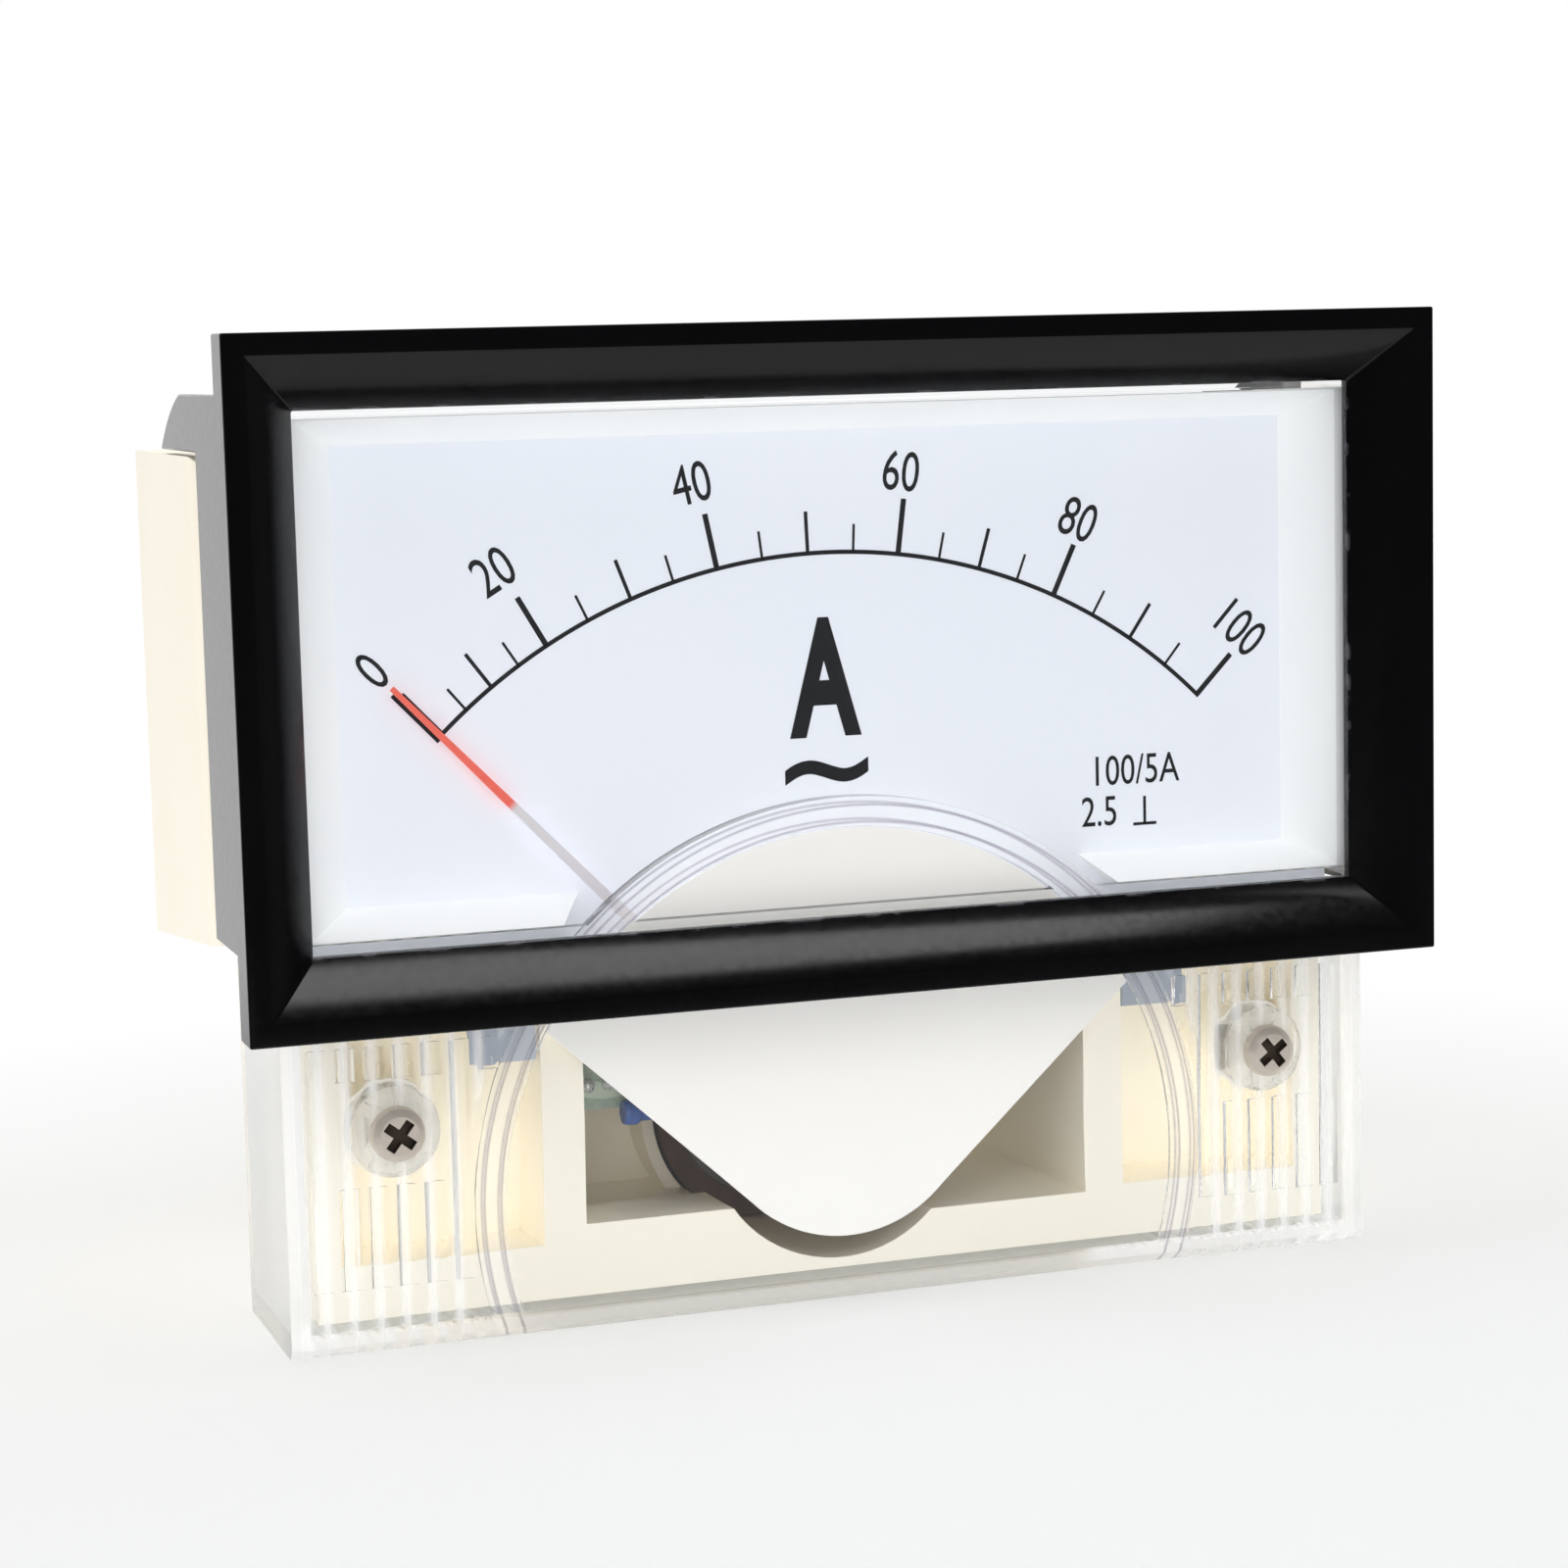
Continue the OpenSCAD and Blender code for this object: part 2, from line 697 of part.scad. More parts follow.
// Posts for the cover screws, the board and the transformer
module housing_posts() {
    both_sides() bar(post_r, boss_back, pocket_y + 1, screw_x, screw_z);
    bar(board_post_r, board_y + board_t, bay_y + 1, board_x, board_post_z);
    block([-bay_x - 0.5, board_y + board_t, board_post_z - 0.8], [board_x, bay_y + 1, board_post_z + 0.8]);
    for (s = [-1, 1], t = [-1, 1])
        bar(yoke_t / 2 + 0.1, trafo_y + core_t, back_in + 0.5, trafo_hole(s, t).x, trafo_hole(s, t).y);
}

function trafo_hole(s, t) = [trafo_x + s * (core_w - yoke_t) / 2, trafo_z + t * (core_h - yoke_t) / 2];

module screw_holes() {
    both_sides() {
        bar(screw_r + thread_fit, 0, panel_gap + cover_screw_len + 0.3, screw_x, screw_z);
        bar(stud_shank_r + screw_fit, back_in - 1, far, stud_x, stud_z);
        bar(bridge_screw_r + thread_fit, rear_bridge_y, rear_bridge_y + 4, post_at, pivot_z);
    }
    bar(board_screw_r + thread_fit, board_y, board_y + board_t + board_screw_len + 0.5, board_x, board_post_z);
    for (s = [-1, 1])
        bar(trafo_screw_r + thread_fit, trafo_y, trafo_y + core_t + trafo_screw_len + 0.4,
            trafo_hole(s, s).x, trafo_hole(s, s).y);
}

// ---------- moving element ----------
module pointer() {
    color([0.85, 0.2, 0.15]) about_pivot(rest_angle) {
        // blade over the dial
        along_y(pointer_y, pointer_y + pointer_t) polygon([
            [-pointer_root_w / 2, crank_r - pointer_t], [pointer_root_w / 2, crank_r - pointer_t],
            [pointer_tip_w / 2, pointer_len], [-pointer_tip_w / 2, pointer_len]]);
        // bend down to the hub
        block([-pointer_root_w / 2, pointer_y, crank_r - pointer_t],
            [pointer_root_w / 2, hub_y, crank_r]);
        block([-pointer_root_w / 2, hub_y - pointer_t, hub_r - 0.4],
            [pointer_root_w / 2, hub_y, crank_r]);
    }
}

// Hub with the pointer's seat and the three balance arms
module pointer_hub() {
    color([0.75, 0.76, 0.78]) about_pivot(rest_angle) difference() {
        union() {
            bar(hub_r, hub_y, hub_y + hub_t);
            block([-arm_w / 2, hub_y, 0], [arm_w / 2, hub_y + arm_t, hub_r + 2]);
            for (a = [90, 180, 270]) rotate([0, a, 0])
                block([-arm_w / 2, hub_y, 0], [arm_w / 2, hub_y + arm_t, balance_r]);
        }
        bar(spindle_r + 0.02, hub_y - 1, hub_y + hub_t + 1);
    }
}

module balance_weights() {
    color([0.72, 0.55, 0.3]) about_pivot(rest_angle) for (a = [90, 180, 270]) rotate([0, a, 0])
        bar(weight_r, hub_y + arm_t, hub_y + arm_t + (a == 180 ? weight_len : 0.5), 0, balance_r - weight_r);
}

// A rectangular loop about the axis
module loop(inner, t, w, y0, y1) {
    difference() {
        block([-inner - t, y0, -w / 2], [inner + t, y1, w / 2]);
        block([-inner, y0 + t, -w], [inner, y1 - t, w]);
    }
}

module moving_coil() {
    color([0.72, 0.4, 0.2]) about_pivot(rest_angle)
        loop(coil_r, coil_t, coil_w, coil_front, coil_back);
}

module coil_former() {
    color([0.8, 0.8, 0.82]) about_pivot(rest_angle)
        loop(coil_r - former_t, former_t, coil_w + 0.3, coil_front + coil_t, coil_back - coil_t);
}

module front_spindle() {
    color([0.7, 0.71, 0.73]) about_pivot(rest_angle) {
        bar(spindle_r, front_screw_back - jewel_depth + end_shake, coil_front);
        bar(collar_r, spring_y, spring_y + 1);
        bar(1.3, coil_front - 0.5, coil_front);
    }
}

module rear_spindle() {
    color([0.7, 0.71, 0.73]) about_pivot(rest_angle) {
        bar(spindle_r, coil_back, rear_screw_front + jewel_depth - end_shake);
        bar(1.3, coil_back, coil_back + 0.5);
        bar(collar_r, coil_back + 0.4, coil_back + 1.7);
    }
}

// ---------- springs ----------
// A flat spiral strip, its outer end pointing down
module spiral(y) {
    steps = round(spring_turns * 12);
    grow = (spring_r - spring_start) / steps;
    turn = 360 * spring_turns / steps;
    inner = [for (i = [0:steps]) [spring_start + grow * i - spring_t / 2, 180 - turn * (steps - i)]];
    outer = [for (i = [steps:-1:0]) [spring_start + grow * i + spring_t / 2, 180 - turn * (steps - i)]];
    translate([0, 0, pivot_z]) along_y(y, y + spring_w)
        polygon([for (p = concat(inner, outer)) [p[0] * sin(p[1]), p[0] * cos(p[1])]]);
}

module front_hairspring() {
    color([0.78, 0.62, 0.32]) spiral(spring_y + 0.3);
}

module rear_hairspring() {
    color([0.78, 0.62, 0.32]) spiral(coil_back + 1);
}

// ---------- magnet system ----------
module magnet_ring() {
    color([0.3, 0.2, 0.16]) difference() {
        bar(magnet_r, magnet_y, magnet_back, 0, pivot_z, $fn = 72);
        bar(pole_r + iron_fit, 0, far, 0, pivot_z);
    }
}

module pole_pieces() {
    color([0.45, 0.45, 0.47]) difference() {
        bar(pole_r, magnet_y, magnet_back, 0, pivot_z);
        bar(gap_r, 0, far, 0, pivot_z);
        block([-gap_half, 0, pivot_z - far], [gap_half, far, pivot_z + far]);
        both_sides() bar(bridge_screw_r + thread_fit, magnet_y - 1, magnet_y + 2, post_at, pivot_z);
        for (a = stop_angles()) about_pivot(a)
            bar(stop_r + thread_fit, magnet_y - 1, magnet_y + 2.5, 0, stop_at);
    }
}

module iron_core() {
    color([0.5, 0.5, 0.52]) bar(core_r, magnet_y, magnet_back + 0.6, 0, pivot_z);
}

module core_strap() {
    color([0.8, 0.65, 0.35]) translate([0, 0, pivot_z])
        block([-strap_w / 2, magnet_y - strap_t, -pole_r + 0.3], [strap_w / 2, magnet_y, pole_r - 0.3]);
}

function stop_angles() = [
    rest_angle - under_travel - stop_lead - 1,
    rest_angle + over_travel + stop_lead + 1
];

module pointer_stops() {
    color([0.75, 0.75, 0.77]) for (a = stop_angles()) about_pivot(a)
        bar(stop_r, hub_y - 0.6, magnet_y + 2.3, 0, stop_at);
}

// ---------- bridges ----------
module front_bridge() {
    color([0.8, 0.68, 0.4]) difference() {
        union() {
            block([-bridge_half, bridge_y, pivot_z - bridge_half_h],
                [bridge_half, bridge_y + bridge_t, pivot_z + bridge_half_h]);
            bar(2.5, bridge_y, bridge_y + bridge_t, 0, pivot_z);
        }
        bar(jewel_screw_r + thread_fit, 0, far, 0, pivot_z);
        both_sides() bar(bridge_screw_r + screw_fit, 0, far, post_at, pivot_z);
    }
}

module bridge_posts() {
    color([0.8, 0.68, 0.4]) both_sides() difference() {
        union() {
            bar(bridge_post_r, bridge_y + bridge_t, magnet_y, post_at, pivot_z);
            bar(bridge_screw_r, magnet_y - 0.1, magnet_y + 1.8, post_at, pivot_z);
        }
        bar(bridge_screw_r + thread_fit, bridge_y, bridge_y + bridge_t + 2.6, post_at, pivot_z);
    }
}

module bridge_screws() {
    color([0.7, 0.7, 0.7]) both_sides() translate([post_at, bridge_y, pivot_z])
        pan_screw(bridge_screw_r, 0.8, 0.5, bridge_t + 2.4);
}

// A jewel screw: slotted at one end, with a blind jewel hole at the other
module jewel_screw(l) {
    difference() {
        bar(jewel_screw_r, 0, l, 0, 0);
        bar(spindle_r + jewel_fit, l - jewel_depth, l + 1);
        block([-jewel_screw_r - 1, -1, -0.2], [jewel_screw_r + 1, 0.5, 0.2]);
    }
}

module front_jewel_screw() {
    color([0.76, 0.64, 0.36]) translate([0, front_screw_y, pivot_z])
        jewel_screw(front_screw_back - front_screw_y);
}

module rear_jewel_screw() {
    color([0.76, 0.64, 0.36]) translate([0, rear_screw_back, pivot_z]) rotate([0, 0, 180])
        jewel_screw(rear_screw_back - rear_screw_front);
}

// Lever on the front jewel screw that holds the outer end of the front hairspring
module zero_adjust_arm() {
    color([0.8, 0.8, 0.8]) translate([0, 0, pivot_z]) {
        difference() {
            union() {
                bar(2.5, zero_arm_y, zero_arm_y + zero_arm_t);
                block([-0.6, zero_arm_y, -zero_peg_at - 1.6], [0.6, zero_arm_y + zero_arm_t, 0]);
            }
            bar(jewel_screw_r + jewel_fit, 0, far);
        }
        bar(zero_peg_r, zero_arm_y + zero_arm_t - 0.1, spring_y + 0.9, 0, -zero_peg_at);
    }
}

module rear_bridge() {
    color([0.8, 0.68, 0.4]) {
        difference() {
            intersection() {
                bar(rear_well_r - 0.15, rear_bridge_y, rear_bridge_y + bridge_t, 0, pivot_z);
                block([-far, 0, pivot_z - 2.6], [far, far, pivot_z + 2.6]);
            }
            bar(jewel_screw_r + thread_fit, 0, far, 0, pivot_z);
            both_sides() bar(bridge_screw_r + screw_fit, 0, far, post_at, pivot_z);
        }
        // tag that holds the outer end of the rear hairspring
        translate([0, 0, pivot_z]) {
            block([-0.5, coil_back + 0.9, -zero_peg_at - 0.25],
                [0.5, rear_bridge_y + bridge_t, -spring_r - spring_t / 2]);
            block([-0.5, rear_bridge_y, -zero_peg_at - 0.25], [0.5, rear_bridge_y + bridge_t, -2.4]);
        }
    }
}

module rear_bridge_screws() {
    color([0.7, 0.7, 0.7]) both_sides() translate([post_at, rear_bridge_y, pivot_z])
        pan_screw(bridge_screw_r, 0.8, 0.5, bridge_t + 2.4);
}

// ---------- circuit ----------
module rectifier_board() {
    color([0.35, 0.5, 0.38]) difference() {
        block([board_x - board_w / 2, board_y, board_bottom], [board_x + board_w / 2, board_y + board_t, board_top]);
        bar(board_screw_r + screw_fit, 0, far, board_x, board_post_z);
    }
}

module board_screw() {
    color([0.72, 0.72, 0.7]) translate([board_x, board_y, board_post_z])
        pan_screw(board_screw_r, board_screw_r + 0.5, 0.7, board_t + board_screw_len);
}

// Four diodes lying across the back of the board
module rectifier_diodes() {
    color([0.15, 0.15, 0.16]) for (i = [0:3])
        translate([board_x, board_y + board_t + 0.9, board_bottom + 1.4 + i * 1.95])
            rotate([0, 90, 0]) cylinder(r = 0.85, h = 3.6, center = true);
}

// Resistor at the foot of the board
module shunt_resistor() {
    color([0.2, 0.3, 0.62]) translate([board_x + board_w / 2 - 1.4, board_y - 0.85, board_bottom - 0.2])
        rotate([0, 90, 0]) rotate_extrude() polygon([[0, -1.9], [0.75, -1.9], [0.85, -1.6], [0.85, -1],
            [0.65, -0.7], [0.65, 0.7], [0.85, 1], [0.85, 1.6], [0.75, 1.9], [0, 1.9]]);
}

module solder_joints() {
    color([0.78, 0.79, 0.8]) for (p = [[-2.1, 1.6], [-0.7, 1.7], [-2.2, 3.9], [-0.8, 4.4], [0.9, 3.6]])
        translate([board_x + p.x, board_y, board_bottom + p.y]) intersection() {
            sphere(r = 0.5, $fn = 20);
            block([-1, -1, -1], [1, 0, 1]);
        }
}

// ---------- current transformer ----------
module transformer_core() {
    color([0.5, 0.5, 0.5]) difference() {
        translate([trafo_x, trafo_y, trafo_z])
            block([-core_w / 2, 0, -core_h / 2], [core_w / 2, core_t, core_h / 2]);
        for (s = [-1, 1]) translate([trafo_x + s * (leg_core / 2 + core_w / 2 - yoke_t) / 2, 0, trafo_z])
            cube([core_w / 2 - yoke_t - leg_core / 2, far, core_h - 2 * yoke_t], center = true);
        for (s = [-1, 1], t = [-1, 1])
            bar(trafo_screw_r + screw_fit, 0, far, trafo_hole(s, t).x, trafo_hole(s, t).y);
    }
}

// Bobbin round the middle leg, with a flange at each end
module transformer_bobbin() {
    ring_x = leg_core / 2 + wind_gap;
    ring_y = core_t / 2 + wind_gap;
    half = core_h / 2 - yoke_t - wind_gap;
    color([0.9, 0.88, 0.8]) translate([trafo_x, trafo_y + core_t / 2, trafo_z]) difference() {
        union() {
            block([-ring_x - bobbin_t, -ring_y - bobbin_t, -half], [ring_x + bobbin_t, ring_y + bobbin_t, half]);
            for (s = [0, 1]) mirror([0, 0, s])
                block([-ring_x - bobbin_t - wind_t, -ring_y - bobbin_t - wind_t - 0.3, half - bobbin_t],
                    [ring_x + bobbin_t + wind_t, ring_y + bobbin_t + wind_t + 0.3, half]);
        }
        block([-ring_x, -ring_y, -far], [ring_x, ring_y, far]);
    }
}

module transformer_winding() {
    ring_x = leg_core / 2 + wind_gap + bobbin_t;
    ring_y = core_t / 2 + wind_gap + bobbin_t;
    half = core_h / 2 - yoke_t - wind_gap - bobbin_t;
    color([0.75, 0.45, 0.22]) translate([trafo_x, trafo_y + core_t / 2, trafo_z]) difference() {
        block([-ring_x - wind_t, -ring_y - wind_t, -half], [ring_x + wind_t, ring_y + wind_t, half]);
        block([-ring_x, -ring_y, -far], [ring_x, ring_y, far]);
    }
}

module transformer_screws() {
    color([0.72, 0.72, 0.7]) for (s = [-1, 1])
        translate([trafo_hole(s, s).x, trafo_y, trafo_hole(s, s).y])
            pan_screw(trafo_screw_r, trafo_screw_r + 0.6, 0.8, core_t + trafo_screw_len);
}

// Two leads from the winding through the notch to the board
module transformer_leads() {
    front = trafo_y - wind_gap - bobbin_t - wind_t;
    low = partition_z + partition_t + 1.2;
    color([0.75, 0.2, 0.15]) for (i = [0, 1]) {
        x = board_x + 1 - i * 2;
        wire_path([[trafo_x - 2 - 2 * i, front, trafo_z - 4], [trafo_x - 2 - 2 * i, board_y + 3, trafo_z - 4],
            [x, board_y + 3, low], [x, board_y + 3, board_top - 0.6], [x, board_y + board_t, board_top - 0.6]], 0.35);
    }
}

// Tinned strip from the board to the top edge of the front bridge
module movement_leads() {
    x = board_x + board_w / 2 - 0.6;
    z = board_bottom + 1.2;
    y = bridge_y + (bridge_t - strip_w) / 2;
    end_x = -bridge_half + 0.5;
    color([0.8, 0.8, 0.82]) {
        block([x - strip_w / 2, y, z - strip_t], [x + strip_w / 2, board_y, z]);
        block([x - strip_w / 2, y, z - strip_t], [end_x + strip_t, y + strip_w, z]);
        block([end_x, y, pivot_z + bridge_half_h], [end_x + strip_t, y + strip_w, z]);
    }
}

// ---------- terminals ----------
// Copper straps from the studs' heads to the winding
module terminal_straps() {
    wind_back = trafo_y + core_t + wind_gap + bobbin_t + wind_t;
    color([0.78, 0.48, 0.3]) both_sides() {
        difference() {
            block([4.2, back_in - strap_plate_t, stud_z - 2.4], [stud_x + 3.6, back_in, stud_z + 2.4]);
            bar(stud_shank_r + screw_fit, 0, far, stud_x, stud_z);
        }
        block([4.2, wind_back, stud_z - 2.4], [5, back_in - 0.1, stud_z + 2.4]);
    }
}

module terminal_studs() {
    color([0.8, 0.72, 0.45]) both_sides() {
        head_back = back_in - strap_plate_t;
        bar(stud_shank_r, head_back - 0.1, housing_depth, stud_x, stud_z);
        bar(stud_core_r, head_back, housing_depth + stud_len, stud_x, stud_z);
        bar(stud_r, housing_depth + washer_t + nut_t + stud_neck, housing_depth + stud_len, stud_x, stud_z);
        bar(stud_head_r, head_back - stud_head_t, head_back, stud_x, stud_z);
    }
}

module terminal_washers() {
    color([0.78, 0.78, 0.76]) both_sides() difference() {
        bar(stud_r + 2.2, housing_depth, housing_depth + washer_t, stud_x, stud_z);
        bar(stud_r + screw_fit, 0, far, stud_x, stud_z);
    }
}

// Hexagon nuts with chamfered corners on both faces
module terminal_nuts() {
    corner_r = nut_af / sqrt(3);
    color([0.8, 0.72, 0.45]) both_sides() translate([stud_x, housing_depth + washer_t, stud_z])
        rotate([-90, 0, 0]) difference() {
            intersection() {
                cylinder(r = corner_r, h = nut_t, $fn = 6);
                rotate_extrude() polygon([[0, 0], [nut_af / 2, 0], [corner_r, nut_chamfer],
                    [corner_r, nut_t - nut_chamfer], [nut_af / 2, nut_t], [0, nut_t]]);
            }
            translate([0, 0, -1]) cylinder(r = stud_core_r + thread_fit, h = nut_t + 2);
        }
}

bezel_frame();
clear_cover();
cover_screws();
dial_surround();
dial_plate();
movement_shield();
base_housing();
pointer();
pointer_hub();
balance_weights();
moving_coil();
coil_former();
front_spindle();
rear_spindle();
front_hairspring();
rear_hairspring();
magnet_ring();
pole_pieces();
iron_core();
core_strap();
front_bridge();
bridge_posts();
bridge_screws();
front_jewel_screw();
zero_adjust_arm();
pointer_stops();
rear_bridge();
rear_bridge_screws();
rear_jewel_screw();
rectifier_board();
board_screw();
rectifier_diodes();
shunt_resistor();
solder_joints();
transformer_core();
transformer_bobbin();
transformer_winding();
transformer_screws();
transformer_leads();
movement_leads();
terminal_straps();
terminal_studs();
terminal_washers();
terminal_nuts();
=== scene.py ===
import json
import math

import bmesh
import bpy
from mathutils import Matrix, Vector


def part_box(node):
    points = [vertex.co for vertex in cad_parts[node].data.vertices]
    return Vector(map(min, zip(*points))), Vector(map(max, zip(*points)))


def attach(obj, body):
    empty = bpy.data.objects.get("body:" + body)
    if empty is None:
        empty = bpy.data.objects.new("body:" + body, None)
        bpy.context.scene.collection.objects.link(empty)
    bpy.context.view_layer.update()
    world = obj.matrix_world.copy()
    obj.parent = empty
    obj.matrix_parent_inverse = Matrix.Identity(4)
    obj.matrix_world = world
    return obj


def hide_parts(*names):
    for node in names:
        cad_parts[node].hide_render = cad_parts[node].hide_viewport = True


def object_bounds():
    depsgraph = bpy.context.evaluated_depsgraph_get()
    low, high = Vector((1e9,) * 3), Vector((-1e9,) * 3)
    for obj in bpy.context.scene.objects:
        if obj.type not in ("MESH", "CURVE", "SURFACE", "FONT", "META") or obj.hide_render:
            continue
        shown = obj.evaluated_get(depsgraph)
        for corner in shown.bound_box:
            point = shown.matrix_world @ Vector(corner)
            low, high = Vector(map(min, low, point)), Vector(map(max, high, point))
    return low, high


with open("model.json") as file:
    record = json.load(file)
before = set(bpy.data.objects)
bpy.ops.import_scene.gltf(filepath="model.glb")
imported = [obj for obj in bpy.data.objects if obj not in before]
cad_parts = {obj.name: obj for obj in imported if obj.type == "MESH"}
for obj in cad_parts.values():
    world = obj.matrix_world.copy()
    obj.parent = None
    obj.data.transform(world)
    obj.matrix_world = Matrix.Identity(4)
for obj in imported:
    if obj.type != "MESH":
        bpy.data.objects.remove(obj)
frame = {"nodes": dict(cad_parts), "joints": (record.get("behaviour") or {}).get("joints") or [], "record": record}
cadBox = [list(corner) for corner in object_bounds()]
nodes = frame["nodes"]
mm = 0.001
swing = next(joint for joint in frame["joints"] if joint["name"] == "pointer_swing")
pivot = Vector(swing["pos_m"])
print("frame loaded,", len(nodes), "nodes")

scene = bpy.context.scene
scene.view_settings.view_transform = "Standard"


def srgb(code):
    channels = [int(code[i:i + 2], 16) / 255 for i in (1, 3, 5)]
    return tuple(c / 12.92 if c <= 0.04045 else ((c + 0.055) / 1.055) ** 2.4 for c in channels) + (1,)


def addNode(tree, kind, inputs=None, **settings):
    node = tree.nodes.new("ShaderNode" + kind)
    for name, value in settings.items():
        setattr(node, name, value)
    for name, value in (inputs or {}).items():
        if isinstance(value, bpy.types.NodeSocket):
            tree.links.new(value, node.inputs[name])
        else:
            node.inputs[name].default_value = value
    return node


def newMaterial(name, **surface):
    material = bpy.data.materials.new(name)
    material.use_nodes = True
    tree = material.node_tree
    shader = tree.nodes["Principled BSDF"]
    for socket, value in surface.items():
        shader.inputs[socket.replace("_", " ")].default_value = value
    place = addNode(tree, "TexCoord").outputs["Object"]
    return material, tree, shader, place


def plug(tree, shader, tint, rough, bump=None):
    # the finished colour, roughness and relief go into the shader
    tree.links.new(tint.outputs[2], shader.inputs["Base Color"])
    tree.links.new(rough.outputs["Result"], shader.inputs["Roughness"])
    if bump:
        tree.links.new(bump.outputs["Normal"], shader.inputs["Normal"])


def bandScale(pitch):
    # the wave texture's scale for one band in every pitch, in millimetres
    return 0.1 * math.pi / (pitch * mm)


def mouldedPlastic(name, colour, ior, finish):
    material, tree, shader, place = newMaterial(name, IOR=ior)
    # slow swirls of the melt in the colour, and a fine mould texture in the bump
    swirl = addNode(tree, "TexNoise", {"Vector": place, "Scale": 1 / (finish["swirl"] * mm), "Detail": 3.0})
    tint = addNode(tree, "Mix", {"Factor": swirl.outputs["Fac"], 6: srgb(colour[0]), 7: srgb(colour[1])},
                   data_type="RGBA")
    grain = addNode(tree, "TexNoise", {"Vector": place, "Scale": 1 / (finish["grain"] * mm), "Detail": 2.0})
    rough = addNode(tree, "MapRange", {"Value": grain.outputs["Fac"], "From Min": 0.3, "From Max": 0.7,
                                       "To Min": finish["gloss"][0], "To Max": finish["gloss"][1]})
    bump = addNode(tree, "Bump", {"Height": grain.outputs["Fac"], "Strength": finish["bump"],
                                  "Distance": finish["depth"] * mm})
    plug(tree, shader, tint, rough, bump)
    return material


def workedMetal(name, colour, finish, metallic=1.0):
    material, tree, shader, place = newMaterial(name, Metallic=metallic)
    # tarnish in patches, and fine marks stretched along the way it was drawn, rolled or turned
    patch = addNode(tree, "TexNoise", {"Vector": place, "Scale": 1 / (finish["patch"] * mm), "Detail": 4.0})
    tint = addNode(tree, "Mix", {"Factor": patch.outputs["Fac"], 6: srgb(colour[0]), 7: srgb(colour[1])},
                   data_type="RGBA")
    along = addNode(tree, "Mapping", {"Vector": place, "Scale": finish["stretch"]})
    marks = addNode(tree, "TexNoise", {"Vector": along.outputs["Vector"],
                                       "Scale": 1 / (finish["marks"] * mm), "Detail": 2.0})
    rough = addNode(tree, "MapRange", {"Value": marks.outputs["Fac"], "From Min": 0.3, "From Max": 0.7,
                                       "To Min": finish["gloss"][0], "To Max": finish["gloss"][1]})
    bump = addNode(tree, "Bump", {"Height": marks.outputs["Fac"], "Strength": finish["bump"],
                                  "Distance": 0.02 * mm})
    plug(tree, shader, tint, rough, bump)
    return material


def wornOpening(material, wear):
    # handling has dulled the gloss along the window's edge: short grey nicks with clean stretches between
    tree = material.node_tree
    shader = tree.nodes["Principled BSDF"]
    place = addNode(tree, "TexCoord").outputs["Object"]
    parts = addNode(tree, "SeparateXYZ", {0: place})
    sideX = addNode(tree, "Math", {0: parts.outputs["X"]}, operation="ABSOLUTE")
    sideZ = addNode(tree, "Math", {0: parts.outputs["Z"]}, operation="ABSOLUTE")
    overX = addNode(tree, "Math", {0: sideX.outputs[0], 1: wear["halfX"] * mm}, operation="SUBTRACT")
    overZ = addNode(tree, "Math", {0: sideZ.outputs[0], 1: wear["halfZ"] * mm}, operation="SUBTRACT")
    over = addNode(tree, "Math", {0: overX.outputs[0], 1: overZ.outputs[0]}, operation="MAXIMUM")
    edge = addNode(tree, "MapRange", {"Value": over.outputs[0], "From Min": wear["reach"] * mm,
                                      "From Max": 0.0})
    chips = addNode(tree, "TexNoise", {"Vector": place, "Scale": 1 / (wear["length"] * mm), "Detail": 4.0})
    worn = addNode(tree, "MapRange", {"Value": chips.outputs["Fac"], "From Min": 0.53, "From Max": 0.6})
    front = addNode(tree, "MapRange", {"Value": parts.outputs["Y"],
                                       "From Min": (wear["front"] + wear["fade"]) * mm,
                                       "From Max": wear["front"] * mm})
    corner = addNode(tree, "Math", {0: edge.outputs["Result"], 1: front.outputs["Result"]},
                     operation="MULTIPLY")
    share = addNode(tree, "Math", {0: corner.outputs[0], 1: worn.outputs["Result"]}, operation="MULTIPLY")
    clean = shader.inputs["Base Color"].links[0].from_socket
    tint = addNode(tree, "Mix", {"Factor": share.outputs[0], 6: clean, 7: srgb(wear["colour"])},
                   data_type="RGBA")
    tree.links.new(tint.outputs[2], shader.inputs["Base Color"])


# Black ABS, moulded in a polished tool: deep black with a soft-edged gloss
blackAbs = mouldedPlastic(
    "blackAbs", ("#050506", "#0A0A0C"), 1.5,
    {"swirl": 9, "grain": 0.6, "gloss": (0.12, 0.18), "bump": 0.08, "depth": 0.02})
wornOpening(blackAbs, {"halfX": 35.3, "halfZ": 16.6, "front": 0.35, "fade": 0.25, "reach": 0.2, "length": 2.5,
                       "colour": "#4B494E"})
# White ABS, moulded satin: clean white without a sharp highlight
whiteAbs = mouldedPlastic(
    "whiteAbs", ("#F4F4F2", "#EFEFEE"), 1.5,
    {"swirl": 12, "grain": 0.4, "gloss": (0.36, 0.46), "bump": 0.1, "depth": 0.02})
# White polystyrene sheet, vacuum-formed: slightly warmer and shinier than the surround
whiteStyrene = mouldedPlastic(
    "whiteStyrene", ("#FDF9F3", "#FAF5EE"), 1.5,
    {"swirl": 15, "grain": 0.5, "gloss": (0.3, 0.38), "bump": 0.08, "depth": 0.02})
# Cream phenolic, compression moulded: warm ivory with faint flow clouds
creamPhenolic = mouldedPlastic(
    "creamPhenolic", ("#FAF4E6", "#F5ECD8"), 1.55,
    {"swirl": 14, "grain": 0.35, "gloss": (0.34, 0.46), "bump": 0.18, "depth": 0.03})
